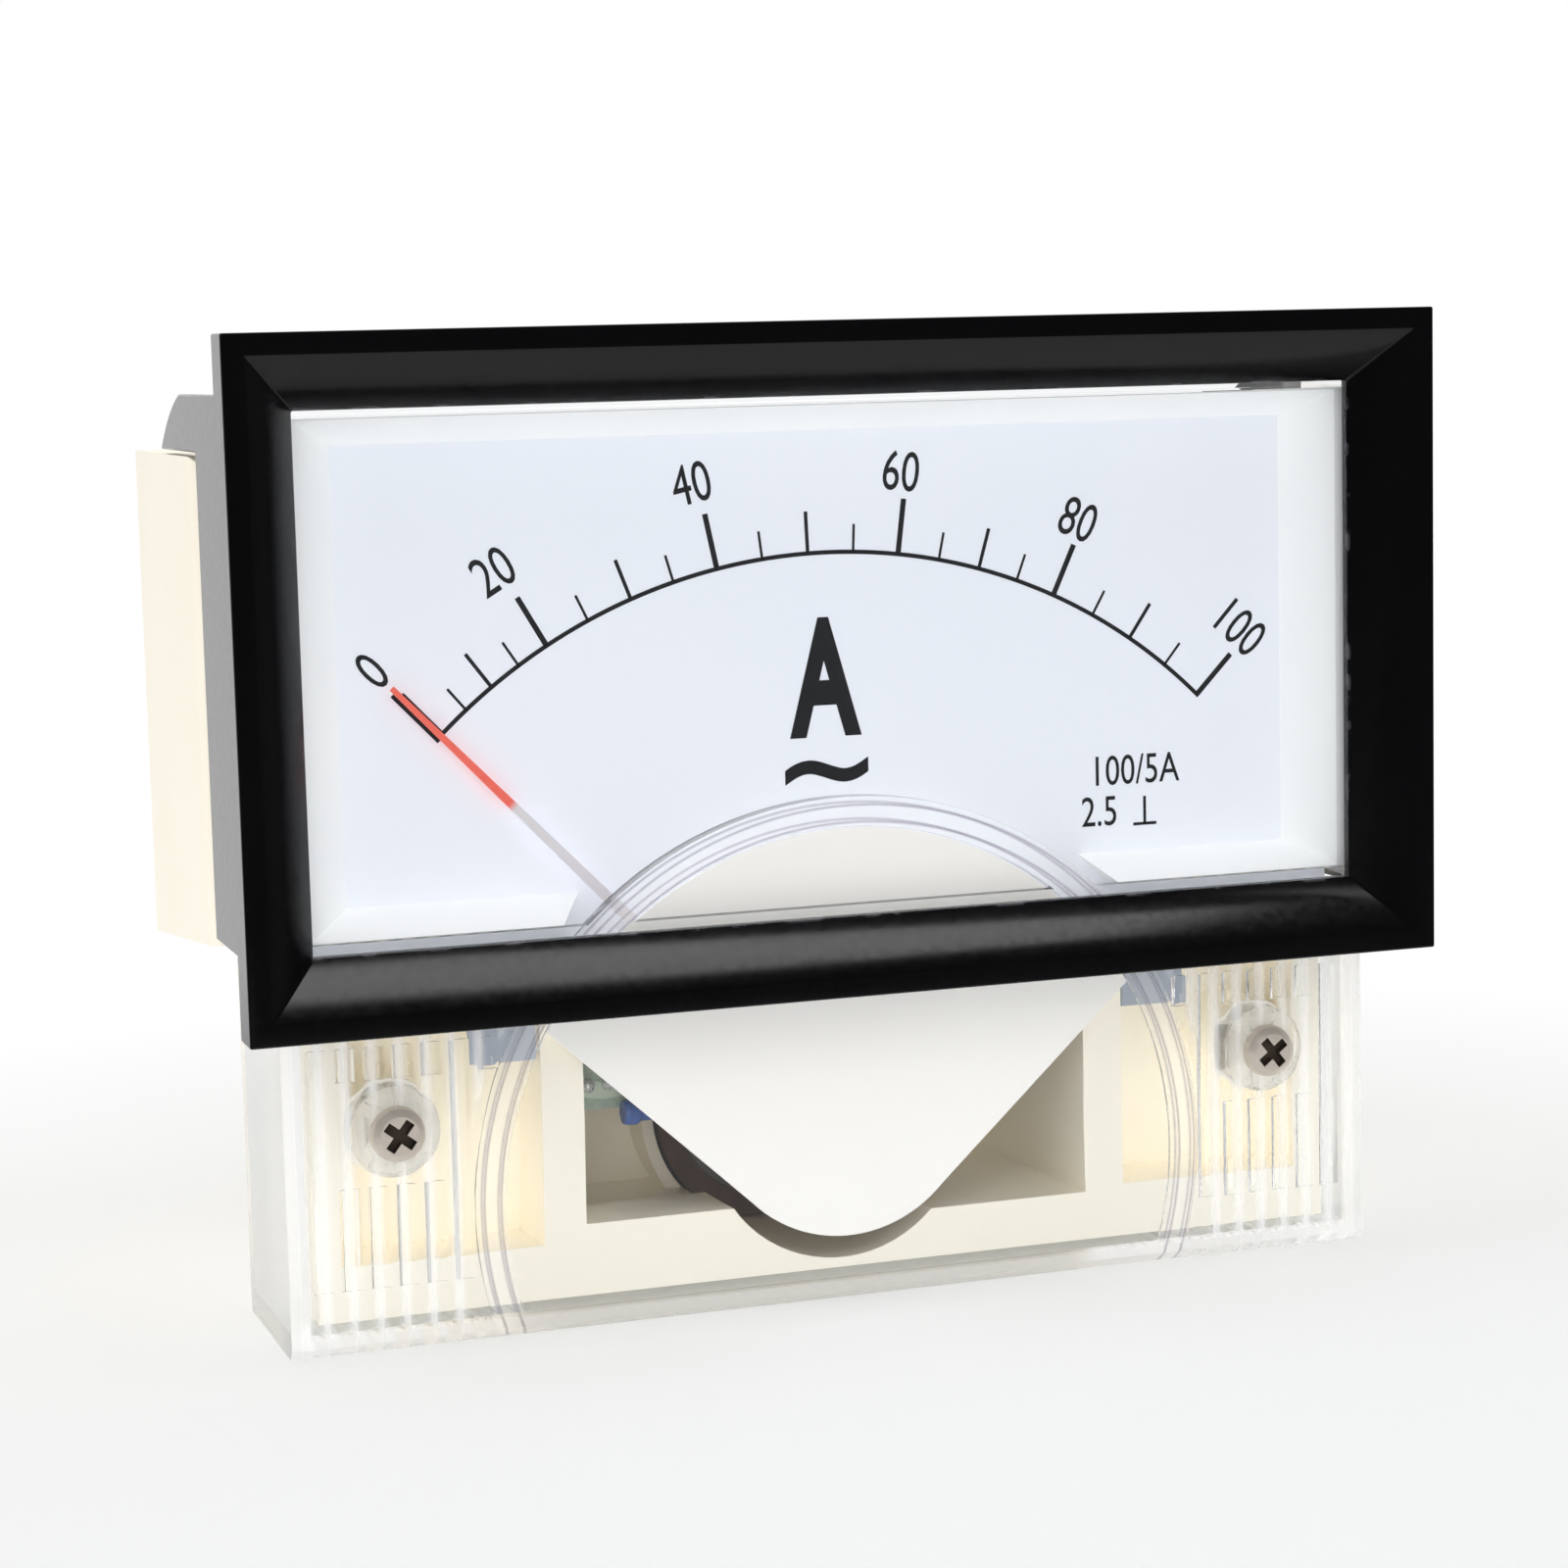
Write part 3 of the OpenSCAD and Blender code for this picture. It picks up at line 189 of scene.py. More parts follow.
# Natural nylon of the bobbin: milky and slightly yellow
naturalNylon = mouldedPlastic(
    "naturalNylon", ("#EDE8D9", "#E2DCC8"), 1.53,
    {"swirl": 6, "grain": 0.4, "gloss": (0.35, 0.5), "bump": 0.1, "depth": 0.02})
# Black epoxy of the diodes: dull, finely pitted
blackEpoxy = mouldedPlastic(
    "blackEpoxy", ("#17171A", "#222226"), 1.55,
    {"swirl": 2, "grain": 0.12, "gloss": (0.4, 0.6), "bump": 0.3, "depth": 0.02})
# Blue resistor lacquer, dipped: glossy, in two shades of blue
blueLacquer = mouldedPlastic(
    "blueLacquer", ("#35508C", "#4264A8"), 1.52,
    {"swirl": 1, "grain": 0.3, "gloss": (0.12, 0.25), "bump": 0.1, "depth": 0.03})
# Red PVC sleeving on the leads: soft satin
redPvc = mouldedPlastic(
    "redPvc", ("#A8241C", "#B83328"), 1.53,
    {"swirl": 3, "grain": 0.2, "gloss": (0.35, 0.5), "bump": 0.1, "depth": 0.02})
# Old grease and dust in a screw's cross recess, with painted shade down in the recess: nearly black, without shine
recessGrimeAndShade = mouldedPlastic(
    "recessGrimeAndShade", ("#2A221C", "#453A31"), 1.45,
    {"swirl": 0.6, "grain": 0.2, "gloss": (0.7, 0.9), "bump": 0.3, "depth": 0.03})

# Nickel-plated steel, barrel plated: warm grey and dulled, so it stays light in front of a dark room
nickelSteel = workedMetal(
    "nickelSteel", ("#DDD3C8", "#C5BBB0"),
    {"patch": 0.9, "stretch": (1, 1, 1), "marks": 0.25, "gloss": (0.3, 0.5), "bump": 0.25}, metallic=0.5)
# Zinc-plated steel washers: grey with a dull bloom
zincSteel = workedMetal(
    "zincSteel", ("#B9BABB", "#A4A5A6"),
    {"patch": 1.5, "stretch": (1, 1, 1), "marks": 0.2, "gloss": (0.28, 0.45), "bump": 0.25})
# Free-turning brass: yellow, with fine turning marks round Y
turnedBrass = workedMetal(
    "turnedBrass", ("#D2B273", "#BE9C5B"),
    {"patch": 2.0, "stretch": (1, 12, 1), "marks": 1.2, "gloss": (0.16, 0.3), "bump": 0.2})
# Rolled brass strip: yellow with fine marks along its length
rolledBrass = workedMetal(
    "rolledBrass", ("#CFAE6C", "#B99652"),
    {"patch": 2.5, "stretch": (1, 8, 8), "marks": 1.0, "gloss": (0.2, 0.36), "bump": 0.2})
# Phosphor bronze spring strip: darker and redder than brass
phosphorBronze = workedMetal(
    "phosphorBronze", ("#B98A4E", "#A1743D"),
    {"patch": 1.0, "stretch": (1, 1, 1), "marks": 0.3, "gloss": (0.2, 0.3), "bump": 0.1})
# Rolled aluminium sheet: pale and satin
rolledAluminium = workedMetal(
    "rolledAluminium", ("#C9CBCE", "#B6B9BD"),
    {"patch": 2.5, "stretch": (1, 8, 8), "marks": 1.0, "gloss": (0.25, 0.4), "bump": 0.2})
# Silver steel, ground: bright with fine rings
groundSteel = workedMetal(
    "groundSteel", ("#B4B5B8", "#9C9DA1"),
    {"patch": 1.5, "stretch": (1, 10, 1), "marks": 0.8, "gloss": (0.14, 0.24), "bump": 0.15})
# Sintered magnet: brown-grey and granular
sinteredMagnet = workedMetal(
    "sinteredMagnet", ("#7C6456", "#5C4A41"),
    {"patch": 0.8, "stretch": (1, 1, 1), "marks": 0.15, "gloss": (0.45, 0.65), "bump": 0.5})
# Annealed soft iron: mid grey, dull
softIron = workedMetal(
    "softIron", ("#7E7C7B", "#6C6A69"),
    {"patch": 1.5, "stretch": (1, 6, 1), "marks": 0.6, "gloss": (0.35, 0.5), "bump": 0.25})
# Electrolytic copper strap: pink with darker patches
copperStrap = workedMetal(
    "copperStrap", ("#C98A66", "#AC6C49"),
    {"patch": 2.0, "stretch": (8, 8, 1), "marks": 1.0, "gloss": (0.25, 0.4), "bump": 0.2})
# Tin-lead solder: silvery, with a frosted skin
tinSolder = workedMetal(
    "tinSolder", ("#E2E4E6", "#CACCCE"),
    {"patch": 0.5, "stretch": (1, 1, 1), "marks": 0.15, "gloss": (0.2, 0.4), "bump": 0.3}, metallic=0.6)


def etchedBoard():
    # Glass-epoxy laminate under a thin green resist: copper tracks show as paler lanes over the weave
    board = {"track": 1.9, "weave": 0.5, "step": 0.035}
    material, tree, shader, place = newMaterial("etchedBoard", IOR=1.55)
    lanes = addNode(tree, "TexWave", {"Vector": place, "Scale": bandScale(board["track"]),
                                      "Distortion": 6.0, "Detail": 0.0, "Detail Scale": 0.6},
                    wave_type="BANDS", bands_direction="Z")
    track = addNode(tree, "MapRange", {"Value": lanes.outputs["Fac"], "From Min": 0.52, "From Max": 0.58})
    weave = addNode(tree, "TexChecker", {"Vector": place, "Scale": 1 / (board["weave"] * mm)})
    cloth = addNode(tree, "Mix", {"Factor": weave.outputs["Fac"], 6: srgb("#93A091"), 7: srgb("#9DA999")},
                    data_type="RGBA")
    tint = addNode(tree, "Mix", {"Factor": track.outputs["Result"], 6: cloth.outputs[2], 7: srgb("#BBC6B5")},
                   data_type="RGBA")
    rough = addNode(tree, "MapRange", {"Value": track.outputs["Result"], "To Min": 0.4, "To Max": 0.22})
    bump = addNode(tree, "Bump", {"Height": track.outputs["Result"], "Strength": 0.6,
                                  "Distance": board["step"] * mm})
    plug(tree, shader, tint, rough, bump)
    return material


def threadedBrass():
    # Rolled thread on brass, at the M4 pitch: bright crests and dark roots, painted into the colour as painted
    # highlight and painted shade
    thread = {"pitch": 0.7, "deep": 0.25}
    material, tree, shader, place = newMaterial("threadedBrass", Metallic=1.0)
    shadedTurns = addNode(tree, "TexWave", {"Vector": place, "Scale": bandScale(thread["pitch"]),
                                      "Distortion": 0.05}, wave_type="BANDS", bands_direction="Y")
    # painted highlight on the crests and painted shade in the roots
    tint = addNode(tree, "Mix", {"Factor": shadedTurns.outputs["Fac"], 6: srgb("#8C6D38"), 7: srgb("#D8BA7E")},
                   data_type="RGBA")
    rough = addNode(tree, "MapRange", {"Value": shadedTurns.outputs["Fac"], "To Min": 0.4, "To Max": 0.18})
    bump = addNode(tree, "Bump", {"Height": shadedTurns.outputs["Fac"], "Strength": 1.0,
                                  "Distance": thread["deep"] * mm})
    plug(tree, shader, tint, rough, bump)
    return material


def bossHaze(tree, parts, side, clear):
    # frosted where the screws' bosses are cut, by the distance from the nearer screw's axis
    low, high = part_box("cover_screws")
    fromX = addNode(tree, "Math", {0: side.outputs[0], 1: high.x - (high.z - low.z) / 2},
                    operation="SUBTRACT")
    fromZ = addNode(tree, "Math", {0: parts.outputs["Z"], 1: (high.z + low.z) / 2}, operation="SUBTRACT")
    offset = addNode(tree, "CombineXYZ", {0: fromX.outputs[0], 1: fromZ.outputs[0]})
    away = addNode(tree, "VectorMath", {0: offset.outputs[0]}, operation="LENGTH")
    boss = addNode(tree, "MapRange", {"Value": away.outputs["Value"],
                                      "From Min": (clear["bossRadius"] + clear["bossBlend"]) * mm,
                                      "From Max": clear["bossRadius"] * mm, "To Max": clear["bossFrost"]})
    return boss.outputs["Result"]


def archReach(tree, place, clear):
    # the distance from the centre of the arched rib, as seen from the front
    fromArch = addNode(tree, "VectorMath", {0: place, 1: (0, 0, clear["archBottom"] * mm)},
                       operation="SUBTRACT")
    flat = addNode(tree, "VectorMath", {0: fromArch.outputs[0], 1: (1, 0, 1)}, operation="MULTIPLY")
    return addNode(tree, "VectorMath", {0: flat.outputs[0]}, operation="LENGTH").outputs["Value"]


def archBand(tree, reach, clear):
    # 1 inside the arched rib, where the melt ran round the movement's dome, and 0 elsewhere
    inside = addNode(tree, "MapRange", {"Value": reach, "From Min": clear["archInner"] * mm,
                                        "From Max": (clear["archInner"] + clear["archBlend"]) * mm})
    outside = addNode(tree, "MapRange", {"Value": reach, "From Min": clear["archOuter"] * mm,
                                         "From Max": (clear["archOuter"] - clear["archBlend"]) * mm})
    band = addNode(tree, "Math", {0: inside.outputs["Result"], 1: outside.outputs["Result"]},
                   operation="MULTIPLY")
    return band.outputs[0]


def ribShadeLines(tree, reach, band, clear):
    # grey lines painted along the rib as painted shade, where the edges of its walls show dark through the clear
    # plastic
    step = addNode(tree, "Math", {0: reach, 1: clear["archInner"] * mm}, operation="SUBTRACT")
    fold = addNode(tree, "Math", {0: step.outputs[0], 1: clear["archLine"] * mm}, operation="PINGPONG")
    line = addNode(tree, "MapRange", {"Value": fold.outputs[0],
                                      "From Min": clear["lineFrom"] * clear["archLine"] * mm,
                                      "From Max": clear["archLine"] * mm, "To Max": clear["lineFrost"]})
    return addNode(tree, "Math", {0: line.outputs["Result"], 1: band}, operation="MULTIPLY").outputs[0]


def softFlutes(tree, place, parts, reach, clear):
    # upright flutes on both sides, outside the arch and under the bezel
    flutes = addNode(tree, "TexWave", {"Vector": place, "Scale": bandScale(clear["flutePitch"]),
                                       "Distortion": 0.2}, wave_type="BANDS", bands_direction="X")
    beyond = addNode(tree, "MapRange", {"Value": reach, "From Min": clear["archOuter"] * mm,
                                        "From Max": (clear["archOuter"] + clear["fluteBlend"]) * mm})
    under = addNode(tree, "MapRange", {"Value": parts.outputs["Z"], "From Min": clear["fluteTop"] * mm,
                                       "From Max": (clear["fluteTop"] - clear["fluteBlend"]) * mm})
    where = addNode(tree, "Math", {0: beyond.outputs["Result"], 1: under.outputs["Result"]},
                    operation="MULTIPLY")
    return addNode(tree, "Math", {0: flutes.outputs["Fac"], 1: where.outputs[0]},
                   operation="MULTIPLY").outputs[0]


def milkyWalls(tree, parts, side, clear):
    # the side and bottom walls are seen along their length, so they look milky
    low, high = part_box("clear_cover")
    blend = clear["wall"] + clear["wallBlend"]
    bottom = addNode(tree, "MapRange", {"Value": parts.outputs["Z"], "From Min": low.z + blend * mm,
                                        "From Max": low.z + clear["wall"] * mm})
    flank = addNode(tree, "MapRange", {"Value": side.outputs[0], "From Min": high.x - blend * mm,
                                       "From Max": high.x - clear["wall"] * mm})
    walls = addNode(tree, "Math", {0: bottom.outputs["Result"], 1: flank.outputs["Result"]},
                    operation="MAXIMUM")
    return addNode(tree, "Math", {0: walls.outputs[0], 1: clear["wallFrost"]},
                   operation="MULTIPLY").outputs[0]


def clearStyrene():
    # Crystal polystyrene, moulded: water-clear, its edges catch grey lines, light passes through to the dial
    clear = {
        "bossRadius": 2.4, "bossBlend": 0.3, "bossFrost": 0.12,
        "archBottom": -34.2, "archInner": 23.0, "archOuter": 25.2, "archBlend": 0.3, "archFrost": 0.1,
        "archLine": 0.55, "lineFrom": 0.72, "lineFrost": 0.3,
        "flutePitch": 1.7, "fluteDepth": 0.12, "fluteFrost": 0.3, "fluteTop": -19.0, "fluteBlend": 0.8,
        "wallFrost": 0.28, "wall": 1.2, "wallBlend": 0.3, "hazeRough": 0.7, "lightThrough": 0.96,
    }
    material, tree, shader, place = newMaterial("clearStyrene", Transmission_Weight=1.0, IOR=1.45)
    parts = addNode(tree, "SeparateXYZ", {0: place})
    side = addNode(tree, "Math", {0: parts.outputs["X"]}, operation="ABSOLUTE")
    reach = archReach(tree, place, clear)
    band = archBand(tree, reach, clear)
    ribShadeMarks = ribShadeLines(tree, reach, band, clear)
    fluted = softFlutes(tree, place, parts, reach, clear)

    # the haziest of the features decides how frosted a spot is
    arch = addNode(tree, "Math", {0: band, 1: clear["archFrost"]}, operation="MULTIPLY")
    crest = addNode(tree, "Math", {0: fluted, 1: 3.0}, operation="POWER")
    streak = addNode(tree, "Math", {0: crest.outputs[0], 1: clear["fluteFrost"]}, operation="MULTIPLY")
    marks = addNode(tree, "Math", {0: bossHaze(tree, parts, side, clear), 1: streak.outputs[0]},
                    operation="MAXIMUM")
    edges = addNode(tree, "Math", {0: arch.outputs[0], 1: milkyWalls(tree, parts, side, clear)},
                    operation="MAXIMUM")
    rib = addNode(tree, "Math", {0: edges.outputs[0], 1: ribShadeMarks}, operation="MAXIMUM")
    haze = addNode(tree, "Math", {0: marks.outputs[0], 1: rib.outputs[0]}, operation="MAXIMUM")
    flow = addNode(tree, "TexNoise", {"Vector": place, "Scale": 1 / (7 * mm), "Detail": 2.0})
    rough = addNode(tree, "MapRange", {"Value": flow.outputs["Fac"], "To Min": 0.0, "To Max": 0.05})
    hazy = addNode(tree, "Math", {0: haze.outputs[0], 1: clear["hazeRough"], 2: rough.outputs["Result"]},
                   operation="MULTIPLY_ADD")
    tree.links.new(hazy.outputs[0], shader.inputs["Roughness"])
    through = addNode(tree, "MapRange", {"Value": haze.outputs[0], "To Min": 1.0, "To Max": 0.0})
    tree.links.new(through.outputs["Result"], shader.inputs["Transmission Weight"])
    pale = addNode(tree, "Mix", {"Factor": haze.outputs[0], 6: srgb("#FCFDFE"), 7: srgb("#F4F2F2")},
                   data_type="RGBA")
    grey = addNode(tree, "Math", {0: ribShadeMarks, 1: 1 / clear["lineFrost"]}, operation="MULTIPLY")
    # the grey-violet of the rib's lines is painted shade in the colour
    tint = addNode(tree, "Mix", {"Factor": grey.outputs[0], 6: pale.outputs[2], 7: srgb("#A29EAC")},
                   data_type="RGBA")
    tree.links.new(tint.outputs[2], shader.inputs["Base Color"])
    ripple = addNode(tree, "Bump", {"Height": fluted, "Strength": 1.0, "Distance": clear["fluteDepth"] * mm})
    bump = addNode(tree, "Bump", {"Height": flow.outputs["Fac"], "Strength": 0.05, "Distance": 0.05 * mm,
                                  "Normal": ripple.outputs["Normal"]})
    tree.links.new(bump.outputs["Normal"], shader.inputs["Normal"])

    # lamps and scattered light go straight through it
    path = addNode(tree, "LightPath")
    lit = addNode(tree, "BsdfTransparent", {"Color": srgb("#F8F9FA")})
    scattered = addNode(tree, "Math", {0: path.outputs["Diffuse Depth"], 1: 0.5}, operation="GREATER_THAN")
    straight = addNode(tree, "Math", {0: path.outputs["Is Shadow Ray"], 1: scattered.outputs[0]},
                       operation="MAXIMUM")
    share = addNode(tree, "Math", {0: straight.outputs[0], 1: clear["lightThrough"]}, operation="MULTIPLY")
    both = addNode(tree, "MixShader", {0: share.outputs[0], 1: shader.outputs[0], 2: lit.outputs[0]})
    tree.links.new(both.outputs[0], tree.nodes["Material Output"].inputs["Surface"])
    return material


def dialLacquer(paintLine):
    # Matt white lacquer on aluminium sheet: a cool white with hardly any shine
    material, tree, shader, place = newMaterial("dialLacquer", IOR=1.48)
    cloud = addNode(tree, "TexNoise", {"Vector": place, "Scale": 1 / (25 * mm), "Detail": 1.0})
    lacquer = addNode(tree, "Mix", {"Factor": cloud.outputs["Fac"], 6: srgb("#EBEEF6"), 7: srgb("#F1F2F7")},
                      data_type="RGBA")
    # the legs are left unpainted, below the line that the bezel hides, and their grey-blue is darkened as painted
    # shade from the bezel
    height = addNode(tree, "SeparateXYZ", {0: place})
    bareShadedLegs = addNode(tree, "MapRange", {"Value": height.outputs["Z"], "From Min": paintLine,
                                      "From Max": paintLine - 0.3 * mm})
    tint = addNode(tree, "Mix", {"Factor": bareShadedLegs.outputs["Result"], 6: lacquer.outputs[2], 7: srgb("#A6ACB6")},
                   data_type="RGBA")
    tooth = addNode(tree, "TexNoise", {"Vector": place, "Scale": 1 / (0.12 * mm), "Detail": 1.0})
    rough = addNode(tree, "MapRange", {"Value": tooth.outputs["Fac"], "To Min": 0.5, "To Max": 0.65})
    bump = addNode(tree, "Bump", {"Height": tooth.outputs["Fac"], "Strength": 0.1, "Distance": 0.01 * mm})
    plug(tree, shader, tint, rough, bump)
    return material


def screenInk():
    # Black screen-printing ink: dense, matt, a little uneven where the mesh laid it down
    material, tree, shader, place = newMaterial("screenInk", IOR=1.5, Specular_IOR_Level=0.2)
    mesh = addNode(tree, "TexNoise", {"Vector": place, "Scale": 1 / (0.2 * mm), "Detail": 2.0})
    tint = addNode(tree, "Mix", {"Factor": mesh.outputs["Fac"], 6: srgb("#0B0B0E"), 7: srgb("#1A1B20")},
                   data_type="RGBA")
    rough = addNode(tree, "MapRange", {"Value": mesh.outputs["Fac"], "To Min": 0.45, "To Max": 0.65})
    plug(tree, shader, tint, rough)
    return material


def pointerEnamel():
    # Enamelled aluminium strip: signal red towards the tip, grey-white primer nearer the pivot
    enamel = {"redFrom": 31.2, "blend": 0.25}
    material, tree, shader, place = newMaterial("pointerEnamel", IOR=1.5)
    fromPivot = addNode(tree, "VectorMath", {0: place, 1: pivot}, operation="SUBTRACT")
    flat = addNode(tree, "VectorMath", {0: fromPivot.outputs[0], 1: (1, 0, 1)}, operation="MULTIPLY")
    distance = addNode(tree, "VectorMath", {0: flat.outputs[0]}, operation="LENGTH")
    edge = addNode(tree, "MapRange", {"Value": distance.outputs["Value"],
                                      "From Min": (enamel["redFrom"] - enamel["blend"]) * mm,
                                      "From Max": (enamel["redFrom"] + enamel["blend"]) * mm})
    brushed = addNode(tree, "TexNoise", {"Vector": place, "Scale": 1 / (0.4 * mm), "Detail": 2.0})
    red = addNode(tree, "Mix", {"Factor": brushed.outputs["Fac"], 6: srgb("#F4705E"), 7: srgb("#EC5B49")},
                  data_type="RGBA")
    tint = addNode(tree, "Mix", {"Factor": edge.outputs["Result"], 6: srgb("#D9D3D6"), 7: red.outputs[2]},
                   data_type="RGBA")
    rough = addNode(tree, "MapRange", {"Value": brushed.outputs["Fac"], "To Min": 0.3, "To Max": 0.42})
    plug(tree, shader, tint, rough)
    return material


def woundCopper(name, across, wire):
    # Enamelled copper wire in close layers: red-brown turns that show as fine ribs, with painted shade between the
    # turns
    material, tree, shader, place = newMaterial(name, Metallic=0.85)
    shadedTurns = addNode(tree, "TexWave", {"Vector": place, "Scale": bandScale(wire), "Distortion": 0.3,
                                      "Detail": 1.0, "Detail Scale": 2.0},
                    wave_type="BANDS", bands_direction=across)
    # the dark brown in the bands is painted shade between the turns
    tint = addNode(tree, "Mix", {"Factor": shadedTurns.outputs["Fac"], 6: srgb("#5E2A14"), 7: srgb("#B4623A")},
                   data_type="RGBA")
    rough = addNode(tree, "MapRange", {"Value": shadedTurns.outputs["Fac"], "To Min": 0.45, "To Max": 0.2})
    bump = addNode(tree, "Bump", {"Height": shadedTurns.outputs["Fac"], "Strength": 0.7, "Distance": 0.05 * mm})
    plug(tree, shader, tint, rough, bump)
    return material


def siliconSteelStack():
    # Silicon-steel sheets, punched and stacked: dark grey edges with fine gaps and a trace of rust
    material, tree, shader, place = newMaterial("siliconSteelStack", Metallic=0.8)
    sheets = addNode(tree, "TexWave", {"Vector": place, "Scale": bandScale(0.5), "Distortion": 0.1},
                     wave_type="BANDS", bands_direction="Y")
    patch = addNode(tree, "TexNoise", {"Vector": place, "Scale": 1 / (2 * mm), "Detail": 5.0})
    rust = addNode(tree, "MapRange", {"Value": patch.outputs["Fac"], "From Min": 0.58, "From Max": 0.7})
    steel = addNode(tree, "Mix", {"Factor": sheets.outputs["Fac"], 6: srgb("#4B4B4E"), 7: srgb("#86878A")},
                    data_type="RGBA")
    tint = addNode(tree, "Mix", {"Factor": rust.outputs["Result"], 6: steel.outputs[2], 7: srgb("#7A4E32")},
                   data_type="RGBA")
    rough = addNode(tree, "MapRange", {"Value": patch.outputs["Fac"], "To Min": 0.35, "To Max": 0.6})
    bump = addNode(tree, "Bump", {"Height": sheets.outputs["Fac"], "Strength": 0.5, "Distance": 0.05 * mm})
    plug(tree, shader, tint, rough, bump)
    return material


crystalStyrene = clearStyrene()
dialWhite = dialLacquer(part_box("bezel_frame")[0].z + 1.5 * mm)
dialInk = screenInk()
pointerPaint = pointerEnamel()
coilWire = woundCopper("coilWire", "Z", 0.25)
transformerWire = woundCopper("transformerWire", "Z", 0.45)
steelStack = siliconSteelStack()
studBrass = threadedBrass()
resistBoard = etchedBoard()
print("materials made")


def showPiece(bm, name, material, body="housing", stands=(), smoothBelow=16):
    for face in bm.faces:
        face.smooth = True
    for edge in bm.edges:
        edge.smooth = len(edge.link_faces) == 2 and edge.calc_face_angle(0) < math.radians(smoothBelow)
    mesh = bpy.data.meshes.new(name)
    bm.to_mesh(mesh)
    bm.free()
    mesh.materials.append(material)
    piece = bpy.data.objects.new(name, mesh)
    scene.collection.objects.link(piece)
    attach(piece, body)
    if stands:
        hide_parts(*stands)
    return piece


def mergedCopy(node):
    bm = bmesh.new()
    bm.from_mesh(nodes[node].data)
    bmesh.ops.remove_doubles(bm, verts=bm.verts, dist=0.002 * mm)
    bmesh.ops.dissolve_limit(bm, angle_limit=math.radians(0.2), verts=bm.verts, edges=bm.edges)
    return bm


def easeEdges(bm, width, above=30):
    edges = [e for e in bm.edges if len(e.link_faces) == 2 and e.calc_face_angle(0) > math.radians(above)]
    bmesh.ops.bevel(bm, geom=edges, offset=width * mm, offset_type="OFFSET", segments=2, profile=0.5,
                    affect="EDGES", material=-1, clamp_overlap=True)
    return bm


def bodyOf(node):
    return next(name for name, members in frame["record"]["behaviour"]["bodies"].items() if node in members)


def dress(node, material):
    nodes[node].data.materials.clear()
    nodes[node].data.materials.append(material)


def softened(node, name, material, width, above=30):
    return showPiece(easeEdges(mergedCopy(node), width, above), name, material, bodyOf(node),
                     (node,))


def dialPoint(radius, degrees):
    turn = math.radians(degrees)
    return Vector((pivot.x + radius * mm * math.sin(turn), 0, pivot.z + radius * mm * math.cos(turn)))


bezel = {"edge": 0.12}
softened("bezel_frame", "bezelMoulding", blackAbs, bezel["edge"])

cover = {"edge": 0.1, "above": 40}
softened("clear_cover", "coverMoulding", crystalStyrene, cover["edge"], cover["above"])

# each head stands turned as it was left by the driver, with grime and painted shade down in its cross
coverScrew = {"edge": 0.06, "turned": (38, 52), "recessReach": 1.25, "recessFrom": 0.22, "recessTo": 1.4}
heads = mergedCopy("cover_screws")
screwLow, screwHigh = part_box("cover_screws")
headRadius = (screwHigh.z - screwLow.z) / 2
for sign, degrees in zip((-1, 1), coverScrew["turned"]):
    axis = Vector((sign * (screwHigh.x - headRadius), 0, screwLow.z + headRadius))
    bmesh.ops.rotate(heads, verts=[v for v in heads.verts if v.co.x * sign > 0], cent=axis,
                     matrix=Matrix.Rotation(math.radians(degrees), 3, "Y"))
easeEdges(heads, coverScrew["edge"])
# faces down in the cross recess take the dark material, which paints the recess's shade along with its grime
for face in heads.faces:
    middle = face.calc_center_median()
    fromAxis = math.hypot(abs(middle.x) - screwHigh.x + headRadius, middle.z - screwLow.z - headRadius)
    deep = middle.y - screwLow.y
    face.material_index = int(fromAxis < coverScrew["recessReach"] * mm
                              and coverScrew["recessFrom"] * mm < deep < coverScrew["recessTo"] * mm)
piece = showPiece(heads, "coverScrewHeads", nickelSteel, bodyOf("cover_screws"),
                  ("cover_screws",))
piece.data.materials.append(recessGrimeAndShade)

surround = {"edge": 0.15}
softened("dial_surround", "dialSurround", whiteAbs, surround["edge"])

shield = {"edge": 0.12}
softened("movement_shield", "movementShield", whiteStyrene, shield["edge"])

housing = {"edge": 0.2}
softened("base_housing", "housingMoulding", creamPhenolic, housing["edge"])
print("mouldings eased")


# places in millimetres from the bezel's middle, the scale's angles in degrees from upright
dial = {
    "arcRadius": 37.5, "arcWidth": 0.28, "arcSteps": 96, "ink": 0.02, "lift": 0.002,
    "tens": (-43.5, -36.9, -30.2, -20.7, -11.5, -2.0, 7.5, 16.3, 24.9, 34.5, 44.2),
    "longTick": (3.6, 0.36), "middleTick": (2.7, 0.24), "shortTick": (1.8, 0.17),
    "zeroMark": {"width": 0.55, "length": 4.2, "below": 0.2, "beside": 0.45},
    "figures": (("0", -30.0, 0.3), ("20", -22.1, 6.1), ("40", -9.0, 11.1), ("60", 5.2, 11.4),
                ("80", 17.6, 7.8), ("100", 29.2, 0.2)),
    "figureHeight": 2.6, "figureSqueeze": 0.72,
    # words, height, x, z, squeeze, weight
    "signs": (("A", 7.2, -0.35, -2.0, 0.62, 0.36), ("~", 6.0, -0.35, -7.4, 1.2, 0.1),
              ("100/5A", 2.0, 21.5, -9.0, 0.78, 0.0), ("2.5", 2.0, 18.9, -11.7, 0.78, 0.0)),
    "upright": {"x": 22.2, "z": -11.7, "line": 0.2, "stem": 1.9, "foot": 1.7, "drop": 0.9},
}
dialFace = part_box("dial_plate")[0].y
dress("dial_plate", dialWhite)


